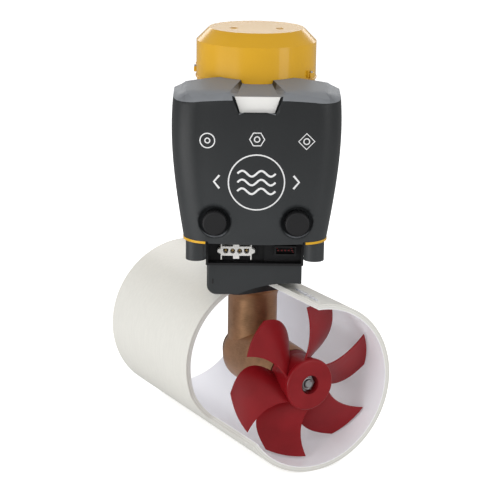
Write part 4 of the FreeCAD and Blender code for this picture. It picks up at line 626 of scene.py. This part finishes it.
def make_motor_seam():
    """The rolled seam between the motor's cap and its tube."""
    mesh = bmesh.new()
    seam_level = MOTOR_TOP - MOTOR_CAP_HEIGHT
    add_ring(mesh, MOTOR_RADIUS - 0.5 * MM, MOTOR_RADIUS + 0.7 * MM, 1.4 * MM,
             LEG_AXIS + UP * (seam_level - 0.7 * MM), UP, segments=96)
    new_piece("motor_seam", mesh, "housing", "yellow_paint")


LUG_TURNS = (-96.0, 62.0, 180.0)


def make_motor_lugs():
    """Ears at the foot of the motor's cap, each with a screw that holds the cap on the tube."""
    ears = bmesh.new()
    screws = bmesh.new()
    level = MOTOR_TOP - 40.0 * MM
    for turn in LUG_TURNS:
        angle = math.radians(turn)
        outward = Vector((math.sin(angle), -math.cos(angle), 0))
        add_box(ears, (8.0 * MM, 3.4 * MM, 5.0 * MM),
                LEG_AXIS + outward * (MOTOR_RADIUS + 0.6 * MM) + UP * level, angle, 0.7 * MM)
        add_box(ears, (1.2 * MM, 2.6 * MM, 6.5 * MM),
                LEG_AXIS + outward * (MOTOR_RADIUS + 0.4 * MM) + UP * (level + 2 * MM)
                + Vector((outward.y, -outward.x, 0)) * 6.5 * MM, angle, 0.3 * MM)
        top = LEG_AXIS + outward * (MOTOR_RADIUS + 0.9 * MM) + UP * (level + 2.5 * MM)
        add_cylinder(screws, 1.5 * MM, 1.3 * MM, 1.6 * MM, top + UP * 0.7 * MM, UP, 20)
    new_piece("motor_lugs", ears, "housing", "yellow_paint", smooth=False)
    new_piece("motor_lug_screws", screws, "housing", "steel", smooth=False)


# ---- knobs and connectors ------------------------------------------------------------------------

KNOB_RADIUS = 10.7 * MM
KNOB_ACROSS = 37.0
KNOB_LEVEL = 152.0
KNOB_RIBS = 30


def make_knob_grips():
    """Fine ribs round each knob."""
    for side, name in ((-1, "left"), (1, "right")):
        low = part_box(f"cover_knob_{name}")[0]
        mesh = bmesh.new()
        for index in range(KNOB_RIBS):
            angle = 2 * math.pi * index / KNOB_RIBS
            outward = Vector((math.cos(angle), 0, math.sin(angle)))
            centre = (head_point(side * KNOB_ACROSS, 0, KNOB_LEVEL)
                      + outward * (KNOB_RADIUS - 0.1 * MM))
            centre.y = low.y + 6.2 * MM
            add_cylinder(mesh, 0.5 * MM, 0.35 * MM, 8.0 * MM, centre, Vector((0, -1, 0)), 8)
        new_piece(f"knob_ribs_{name}", mesh, f"knob_{name}", "black_moulding")


PANEL_FRONT = -64.0


def make_panel_details():
    """Seam and latch ridges of the connector panel, and the painted shade of a small slit in the
    housing below it.
    """
    dark = bmesh.new()
    add_box(dark, (0.5 * MM, 0.3 * MM, 20.0 * MM), head_point(9.0, PANEL_FRONT + 8.0, 118.0))
    for across in (-36.0, -34.0, 1.5, 3.5):
        add_box(dark, (0.6 * MM, 1.2 * MM, 12.0 * MM),
                head_point(across, PANEL_FRONT + 9.6, 118.0), edge=0.1 * MM)
    new_piece("panel_seams", dark, "housing", "black_moulding", smooth=False)
    # painted shade: a black block stands for the shaded inside of the small slit
    slit = bmesh.new()
    add_box(slit, (1.5 * MM, 0.5 * MM, 4.6 * MM), head_point(-38.3, -60.0, 88.5),
            edge=0.15 * MM)
    new_piece("housing_slit_shade", slit, "housing", "rubber", smooth=False)
    pins = bmesh.new()
    for index in range(5):
        add_box(pins, (1.5 * MM, 0.8 * MM, 1.3 * MM),
                head_point(28.0 + (index - 2) * 3.2, PANEL_FRONT + 3.8, 118.7), edge=0.15 * MM)
    for across, level in ((20.5, 120.6), (33.5, 120.9), (35.2, 117.0)):
        add_box(pins, (1.2 * MM, 0.8 * MM, 0.8 * MM),
                head_point(across, PANEL_FRONT + 3.6, level), edge=0.1 * MM)
    new_piece("aux_pins", pins, "housing", "dark_red", smooth=False)


# ways past the leg: the end of the shaft, and the top of the nut on its seat and washer
SHAFT_TIP = 105.5 * MM
NUT_TOP = (94.0 + 1.6 + 6.5) * MM


def make_stud_thread():
    """The thread at the end of the propeller shaft and the locking collar of its nut."""
    mesh = bmesh.new()
    for turn in range(4):
        centre = LEG_AXIS + TUNNEL_AXIS * (SHAFT_TIP - 3.2 * MM + turn * 0.8 * MM)
        add_cylinder(mesh, 4.12 * MM, 3.8 * MM, 0.5 * MM, centre, TUNNEL_AXIS, 24)
    new_piece("stud_thread", mesh, "screw", "steel")
    collar = bmesh.new()
    low_end = LEG_AXIS + TUNNEL_AXIS * NUT_TOP
    add_ring(collar, 4.3 * MM, 6.1 * MM, 1.1 * MM, low_end - TUNNEL_AXIS * 0.05 * MM, TUNNEL_AXIS)
    new_piece("nut_collar", collar, "screw", "steel")


# ---- cover ---------------------------------------------------------------------------------------

# stations of the cover's top in millimetres: the place from front to back, and the value there
SHOULDER_LEVELS = ((-90.0, 0.0), (-80.0, 4.1), (-56.0, 3.5), (-45.0, 3.3))
CHANNEL_EDGE = ((-90.0, 22.3), (-80.0, 24.9), (-56.0, 15.2), (-45.0, 11.0))
CHANNEL_FLOOR = ((-90.0, 20.3), (-56.0, 13.8), (-45.0, 11.0))
SHOULDER_CREASE = -80.0
SHOULDER_SIDE = 64.0
COVER_FRONT = -90.0
COVER_DEPTH = 45.0
COVER_BOW = 4.0
COVER_FLAT_HALF = 52.3
COVER_CORNER = 24.0
COVER_HALF = 76.3
COVER_TOP_HALF = 71.5
COVER_WALL = 3.0
COVER_CROWN = 8.0
COVER_RISE = 11.0
UPPER_PART = 240.0 * MM
CHANNEL_BACK = -40.0
PAST_COVER = 100.0
LEVEL_SLACK = 0.6
SHARP_ANGLE = math.radians(24.0)

# the notch as it stands in the solid, and the deeper and narrower one that it becomes
NOTCH_FOOT = 252.0
NOTCH_TOP = 263.0
NOTCH_BACK = -83.0
NOTCH_FOOT_HALF = 16.0
NOTCH_LEAN = 0.773
NOTCH_REACH = 30.0
NOTCH_TOLERANCE = 0.35
NOTCH_SLACK = 0.3
NOTCH_STRETCH = 1.2
DEEP_NOTCH_FOOT = 249.8
DEEP_NOTCH_HALF = 16.2
DEEP_NOTCH_LEAN = 0.462

PLAQUE_OUTLINE = ((-15.4, 250.8), (-8.0, 250.2), (8.0, 250.2), (15.4, 250.8), (20.2, 265.0),
                  (-20.2, 265.0))
PLAQUE_FACE = -85.0
PLAQUE_BACK = -83.4


def between(stations, along):
    """The value at a place, on straight runs between stations."""
    for (start, first), (end, last) in zip(stations, stations[1:]):
        if along <= end:
            return first + (last - first) * max(0.0, (along - start) / (end - start))
    return stations[-1][1]


def front_line(across):
    """Where the bowed front face and its rounded corners lie."""
    beyond = abs(across) - COVER_FLAT_HALF
    if beyond <= 0:
        return COVER_FRONT + COVER_BOW * (across / COVER_FLAT_HALF) ** 2
    beyond = min(beyond, COVER_CORNER)
    return COVER_FRONT + COVER_BOW + COVER_CORNER - math.sqrt(COVER_CORNER ** 2 - beyond ** 2)


def cover_top(across, along):
    """Level of the plain crowned top of the cover."""
    crown = COVER_CROWN * (across / COVER_HALF) ** 2
    return NOTCH_TOP + COVER_RISE * (along - COVER_FRONT) / COVER_DEPTH - crown


def held(value):
    """A share held between 0 and 1."""
    return min(1.0, max(0.0, value))


def cut_along(mesh, start, end):
    """Divides the upper part of the mesh along a straight line in plan."""
    way = Vector((end[0] - start[0], end[1] - start[1], 0.0))
    faces = [face for face in mesh.faces if face.calc_center_median().z > UPPER_PART]
    edges = {edge for face in faces for edge in face.edges}
    corners = {vertex for face in faces for vertex in face.verts}
    bmesh.ops.bisect_plane(mesh, geom=[*corners, *edges, *faces], dist=1e-6,
                           plane_co=head_point(start[0], start[1], 0.0), plane_no=way.cross(UP))


def deepen_notch(mesh):
    """Lowers the foot of the notch and brings its walls closer together."""
    for vertex in mesh.verts:
        place = (vertex.co - LEG_AXIS) / MM
        half = abs(place.x)
        off_wall = half - NOTCH_FOOT_HALF - NOTCH_LEAN * (place.z - NOTCH_FOOT)
        if (place.y >= NOTCH_BACK or place.z <= NOTCH_FOOT - NOTCH_SLACK
                or half >= NOTCH_REACH or abs(off_wall) >= NOTCH_TOLERANCE):
            continue
        level = min(place.z, NOTCH_TOP)
        place.z += NOTCH_TOP - (NOTCH_TOP - level) * NOTCH_STRETCH - level
        half = DEEP_NOTCH_HALF + DEEP_NOTCH_LEAN * (place.z - DEEP_NOTCH_FOOT)
        place.x = math.copysign(half, place.x)
        vertex.co = LEG_AXIS + place * MM


def raise_shoulders(mesh):
    """Lifts the top beside the channel, up to a crease and then more gently to the motor."""
    cut_along(mesh, (-PAST_COVER, SHOULDER_CREASE), (PAST_COVER, SHOULDER_CREASE))
    for side in (-1, 1):
        cut_along(mesh, (side * SHOULDER_SIDE, -PAST_COVER), (side * SHOULDER_SIDE, CHANNEL_BACK))
        for stations in (CHANNEL_FLOOR[:2], CHANNEL_EDGE[:2], CHANNEL_EDGE[1:3]):
            (start, first), (end, last) = stations
            cut_along(mesh, (side * first, start), (side * last, end))
    for vertex in mesh.verts:
        place = (vertex.co - LEG_AXIS) / MM
        if place.z < cover_top(place.x, place.y) - COVER_WALL - LEVEL_SLACK:
            continue
        half = abs(place.x)
        behind_front = COVER_FRONT + max(0.0, place.y - front_line(place.x))
        inward = held((COVER_TOP_HALF - half) / (COVER_TOP_HALF - SHOULDER_SIDE))
        floor_half = between(CHANNEL_FLOOR, place.y)
        edge_half = between(CHANNEL_EDGE, place.y)
        up_the_wall = held((half - floor_half) / max(0.1, edge_half - floor_half))
        vertex.co.z += between(SHOULDER_LEVELS, behind_front) * inward * up_the_wall * MM


def make_cover_shell():
    """The moulded cover with raised shoulders and a tapering channel between them."""
    mesh = bmesh.new()
    mesh.from_mesh(frame["nodes"]["control_cover"].data)
    bmesh.ops.remove_doubles(mesh, verts=mesh.verts, dist=1e-6)
    deepen_notch(mesh)
    raise_shoulders(mesh)
    bmesh.ops.triangulate(mesh, faces=mesh.faces)
    shell = new_piece("cover_shell", mesh, "housing", "grey_moulding")
    shell.data.set_sharp_from_angle(angle=SHARP_ANGLE)
    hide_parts("control_cover")


def make_plaque():
    """The bare white plaque that stands in the notch."""
    mesh = bmesh.new()
    face, back = [[mesh.verts.new(head_point(across, along, level))
                   for across, level in PLAQUE_OUTLINE] for along in (PLAQUE_FACE, PLAQUE_BACK)]
    mesh.faces.new(face)
    mesh.faces.new(reversed(back))
    for index in range(len(PLAQUE_OUTLINE)):
        after = (index + 1) % len(PLAQUE_OUTLINE)
        mesh.faces.new((face[index], back[index], back[after], face[after]))
    bmesh.ops.bevel(mesh, geom=list(mesh.edges), offset=0.2 * MM, segments=1, affect="EDGES")
    plaque = new_piece("notch_plaque", mesh, "housing", "white_moulding", smooth=False)
    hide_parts("cover_plaque")


# ---- print on the cover --------------------------------------------------------------------------

def wave_line(middle, level, half_width, height):
    """Points of two gentle waves beside each other."""
    steps = 28
    return [(middle + half_width * (2 * step / steps - 1),
             level + height * math.sin(4 * math.pi * step / steps)) for step in range(steps + 1)]


def ring_line(middle, level, radius, corners):
    """Points round a circle or a regular polygon, closed."""
    return [(middle + radius * math.cos(2 * math.pi * step / corners),
             level + radius * math.sin(2 * math.pi * step / corners))
            for step in range(corners + 1)]


RING_LEVEL = 189.0
MARKS = ((-44.0, 226.0, 6.5, 36, 2.2), (44.0, 226.0, 7.2, 4, 2.6), (0.0, 228.0, 6.6, 6, 2.4))
BEFORE_COVER = -130.0


def print_motifs(line):
    """The lines of the print as lists of points across and up, each with its width."""
    motifs = [(ring_line(0.0, RING_LEVEL, 25.0, 48), 1.2 * line)]
    for middle, level, radius, corners, eye in MARKS:
        motifs.append((ring_line(middle, level, radius, corners), line))
        motifs.append((ring_line(middle, level, eye, 18), line))
    for step in (-1, 0, 1):
        motifs.append((wave_line(0.0, RING_LEVEL + step * 8.0, 17.0, 2.6), 1.8 * line))
    for side in (-1, 1):
        chevron = [(side * 33.0, RING_LEVEL - 6.0), (side * 38.0, RING_LEVEL),
                   (side * 33.0, RING_LEVEL + 6.0)]
        motifs.append((chevron, 1.8 * line))
    return motifs


def make_cover_print(sizes):
    """White lines that follow the bowed front of the cover: waves in a ring, and plain marks."""
    cover = frame["nodes"]["control_cover"].data
    cover.calc_loop_triangles()
    tree = BVHTree.FromPolygons([vertex.co for vertex in cover.vertices],
                                [triangle.vertices for triangle in cover.loop_triangles])
    mesh = bmesh.new()
    for points, width in print_motifs(sizes.print_line / MM):
        rails = []
        normals = []
        for index, point in enumerate(points):
            before = points[max(0, index - 1)]
            after = points[min(len(points) - 1, index + 1)]
            if points[0] == points[-1] and index in (0, len(points) - 1):
                before, after = points[-2], points[1]
            way = Vector((after[0] - before[0], after[1] - before[1])).normalized()
            aside = Vector((-way.y, way.x)) * width / 2
            pair = []
            for sign in (-1, 1):
                start = head_point(point[0] + sign * aside.x, BEFORE_COVER,
                                   point[1] + sign * aside.y)
                hit = tree.ray_cast(start, Vector((0, 1, 0)))[0]
                if hit is None:
                    raise RuntimeError("the print runs off the cover")
                pair.append(hit)
            rails.append(tuple(pair))
            normals.append(Vector((0, -1, 0)))
        ribbon(mesh, rails, sizes.print_height, normals)
    new_piece("cover_print", mesh, "housing", "ink", smooth=False)


# ---- operators -----------------------------------------------------------------------------------

class Looks:
    """What every operator shares."""
    bl_options = {"REGISTER", "UNDO"}


class THRUSTER_OT_tunnel(Looks, bpy.types.Operator):
    """Laminate finish for the tunnel and rubber for its saddle"""
    bl_idname = "thruster.tunnel"
    bl_label = "Tunnel"

    def execute(self, context):
        dress("thrust_tunnel", "saddle_gasket", "leg_gasket")
        make_sawn_fringe()
        make_gel_run()
        return {"FINISHED"}


class THRUSTER_OT_leg(Looks, bpy.types.Operator):
    """Cast bronze leg with its bearing cap and seals"""
    bl_idname = "thruster.leg"
    bl_label = "Leg and gear pod"

    def execute(self, context):
        dress("tailpiece", "bearing_cap", "cap_ring", "shaft_seals", "leg_bearings",
              "prop_front_bearing", "prop_rear_bush", "leg_bolts")
        return {"FINISHED"}


class THRUSTER_OT_drive(Looks, bpy.types.Operator):
    """Shafts, bevel gears and jaw coupling"""
    bl_idname = "thruster.drive"
    bl_label = "Drive train"

    def execute(self, context):
        dress("drive_shaft", "bevel_pinion", "bevel_gear", "prop_shaft", "lower_coupling",
              "coupling_star", "upper_coupling")
        return {"FINISHED"}


class THRUSTER_OT_propeller(Looks, bpy.types.Operator):
    """Red propeller with its nut, washer and pin"""
    bl_idname = "thruster.propeller"
    bl_label = "Propeller"

    def execute(self, context):
        dress("propeller", "drive_pin", "prop_washer", "prop_nut")
        make_stud_thread()
        return {"FINISHED"}


class THRUSTER_OT_base(Looks, bpy.types.Operator):
    """Moulded base housing, cast bracket and painted motor plate"""
    bl_idname = "thruster.base"
    bl_label = "Base housing"

    def execute(self, context):
        dress("base_housing", "motor_bracket", "bracket_bolts", "motor_plate", "plate_bolts",
              "motor_screws", "cable_spouts")
        return {"FINISHED"}


class THRUSTER_OT_motor(Looks, bpy.types.Operator):
    """Painted motor and everything inside it"""
    bl_idname = "thruster.motor"
    bl_label = "Motor"

    def execute(self, context):
        dress("motor_tube", "motor_end_cap", "motor_end_shield", "motor_lower_bearing",
              "motor_upper_bearing", "field_magnets", "brush_plate", "brushes", "brush_springs",
              "armature_shaft", "armature_core", "armature_coils", "commutator")
        make_motor_dimples()
        make_motor_seam()
        make_motor_lugs()
        return {"FINISHED"}


class THRUSTER_OT_controls(Looks, bpy.types.Operator):
    """Sheet-metal frame with contactors, strap and board"""
    bl_idname = "thruster.controls"
    bl_label = "Controls"

    def execute(self, context):
        dress("control_frame", "contactor_left", "contactor_right", "battery_posts",
              "copper_strap", "control_board", "cover_studs", "captive_washer_left",
              "captive_washer_right")
        return {"FINISHED"}


class THRUSTER_OT_connectors(Looks, bpy.types.Operator):
    """Connector panel with its two connectors"""
    bl_idname = "thruster.connectors"
    bl_label = "Connectors"

    def execute(self, context):
        dress("connector_panel", "control_connector", "connector_contacts", "aux_connector")
        make_panel_details()
        return {"FINISHED"}


class THRUSTER_OT_cover(Looks, bpy.types.Operator):
    """Moulded control cover, its bare plaque and the two knobs"""
    bl_idname = "thruster.cover"
    bl_label = "Control cover"

    def execute(self, context):
        dress("control_cover", "cover_plaque", "cover_knob_left", "cover_knob_right")
        make_cover_shell()
        make_plaque()
        make_knob_grips()
        make_cover_print(context.scene.thruster_sizes)
        return {"FINISHED"}


class THRUSTER_OT_stage(Looks, bpy.types.Operator):
    """Pale floor and backdrop, soft studio light and the camera"""
    bl_idname = "thruster.stage"
    bl_label = "Stage"

    def execute(self, context):
        light_world(context.scene)
        lay_floor(context.scene.thruster_sizes.floor_reach)
        hang_lamps()
        place_camera(context.scene)
        context.scene.view_settings.view_transform = "Standard"
        return {"FINISHED"}


# ---- stage ---------------------------------------------------------------------------------------

def level_by_ray(tree, diffuse, glossy, camera):
    """A socket with one level for soft lighting, one for reflections and one for the camera."""
    path = tree.nodes.new("ShaderNodeLightPath")
    level = arithmetic(tree, "MULTIPLY", path.outputs["Is Glossy Ray"], glossy - diffuse)
    level = arithmetic(tree, "ADD", level, diffuse)
    seen = arithmetic(tree, "MULTIPLY", path.outputs["Is Camera Ray"], camera - diffuse)
    return arithmetic(tree, "ADD", level, seen)


def light_world(scene):
    """An even white surround, darker in reflections than to the camera."""
    world = bpy.data.worlds.new("studio")
    world.use_nodes = True
    scene.world = world
    tree = world.node_tree
    background = tree.nodes["Background"]
    background.inputs["Color"].default_value = (1.0, 1.0, 1.0, 1.0)
    tree.links.new(level_by_ray(tree, diffuse=0.72, glossy=0.36, camera=1.0),
                   background.inputs["Strength"])


def lay_floor(reach):
    """A white floor under the tunnel that keeps a soft shadow."""
    mesh = bmesh.new()
    bmesh.ops.create_grid(mesh, x_segments=1, y_segments=1, size=reach)
    bmesh.ops.translate(mesh, verts=mesh.verts, vec=(0, 0, CAD_BOX[0].z - 0.2 * MM))
    data = bpy.data.meshes.new("floor")
    mesh.to_mesh(data)
    mesh.free()
    floor = bpy.data.objects.new("floor", data)
    bpy.context.scene.collection.objects.link(floor)
    material, shader = new_finish("pale_floor", (0.86, 0.86, 0.86), 0.9)
    tree = material.node_tree
    shader.inputs["Emission Color"].default_value = (1.0, 1.0, 1.0, 1.0)
    tree.links.new(level_by_ray(tree, diffuse=0.12, glossy=0.02, camera=0.55),
                   shader.inputs["Emission Strength"])
    shader.inputs["Specular IOR Level"].default_value = 0.0
    data.materials.append(material)
    floor.visible_glossy = False


def add_lamp(name, place, target, width, height, power):
    """A rectangular soft light that looks from a place to a target."""
    light = bpy.data.lights.new(name, "AREA")
    light.shape = "RECTANGLE"
    light.size = width
    light.size_y = height
    light.energy = power
    lamp = bpy.data.objects.new(name, light)
    bpy.context.scene.collection.objects.link(lamp)
    lamp.location = place
    lamp.rotation_mode = "QUATERNION"
    lamp.rotation_quaternion = (Vector(target) - Vector(place)).to_track_quat("-Z", "Y")


def hang_lamps():
    """Soft lights from the front left, the right and behind, and a low card at the left."""
    middle = LEG_AXIS + UP * 0.12
    add_lamp("key_softbox", middle + Vector((-0.95, -1.25, 0.75)), middle,
             width=0.45, height=0.9, power=3.0)
    add_lamp("fill_softbox", middle + Vector((1.3, -1.0, 0.3)), middle,
             width=0.6, height=0.9, power=3.4)
    add_lamp("back_softbox", middle + Vector((0.0, 1.5, 0.7)), middle,
             width=1.8, height=0.5, power=7.0)
    add_lamp("left_card", LEG_AXIS + Vector((-0.78, -0.5, 0.02)), LEG_AXIS,
             width=0.8, height=0.17, power=2.0)


# height over the crossing of leg and tunnel axis, distance before it, and angles in radians
CAMERA_HEIGHT = 526.0 * MM
CAMERA_BACK = 1552.6 * MM
CAMERA_PITCH = 0.266445
CAMERA_ROLL = 0.0147963
CAMERA_YAW = -0.00204
CAMERA_TURN = math.radians(-1.2)
CAMERA_LENS = 121.5
CAMERA_SENSOR = 36.0


def place_camera(scene):
    """The camera in front of the head, looking down a little and turned slightly about the leg."""
    data = bpy.data.cameras.new("front_camera")
    data.lens = CAMERA_LENS
    data.sensor_width = CAMERA_SENSOR
    data.clip_start = 0.05
    data.clip_end = 50.0
    camera = bpy.data.objects.new("front_camera", data)
    scene.collection.objects.link(camera)
    level = math.cos(CAMERA_PITCH)
    forward = Vector((math.sin(CAMERA_YAW) * level, math.cos(CAMERA_YAW) * level,
                      -math.sin(CAMERA_PITCH)))
    right = Vector((math.cos(CAMERA_YAW), -math.sin(CAMERA_YAW), 0))
    up = right.cross(forward)
    turned_right = right * math.cos(CAMERA_ROLL) + up * math.sin(CAMERA_ROLL)
    turned_up = up * math.cos(CAMERA_ROLL) - right * math.sin(CAMERA_ROLL)
    about_leg = Matrix.Rotation(CAMERA_TURN, 3, "Z")
    axes = about_leg @ Matrix((turned_right, turned_up, -forward)).transposed()
    camera.matrix_world = axes.to_4x4()
    camera.location = LEG_AXIS + about_leg @ Vector((0, -CAMERA_BACK, CAMERA_HEIGHT))
    scene.camera = camera


# ---- add-on --------------------------------------------------------------------------------------

OPERATORS = (THRUSTER_OT_tunnel, THRUSTER_OT_leg, THRUSTER_OT_drive, THRUSTER_OT_propeller,
             THRUSTER_OT_base, THRUSTER_OT_motor, THRUSTER_OT_controls, THRUSTER_OT_connectors,
             THRUSTER_OT_cover, THRUSTER_OT_stage)


class THRUSTER_PT_looks(bpy.types.Panel):
    """Lists the thruster's pieces in the sidebar"""
    bl_idname = "THRUSTER_PT_looks"
    bl_label = "Bow thruster"
    bl_space_type = "VIEW_3D"
    bl_region_type = "UI"
    bl_category = "Thruster"

    def draw(self, context):
        for operator in OPERATORS:
            self.layout.operator(operator.bl_idname)
        for group in (context.scene.thruster_colours, context.scene.thruster_sizes):
            for name in group.__annotations__:
                self.layout.prop(group, name)


CLASSES = (ThrusterColours, ThrusterSizes, *OPERATORS, THRUSTER_PT_looks)


def register():
    """Adds the classes and the two groups of settings."""
    for cls in CLASSES:
        bpy.utils.register_class(cls)
    bpy.types.Scene.thruster_colours = PointerProperty(type=ThrusterColours)
    bpy.types.Scene.thruster_sizes = PointerProperty(type=ThrusterSizes)


def unregister():
    """Takes away what register added."""
    del bpy.types.Scene.thruster_sizes
    del bpy.types.Scene.thruster_colours
    for cls in reversed(CLASSES):
        bpy.utils.unregister_class(cls)


def main():
    """Builds the looks in order."""
    register()
    for operator in OPERATORS:
        group, name = operator.bl_idname.split(".")
        getattr(getattr(bpy.ops, group), name)()


if __name__ == "__main__":
    main()
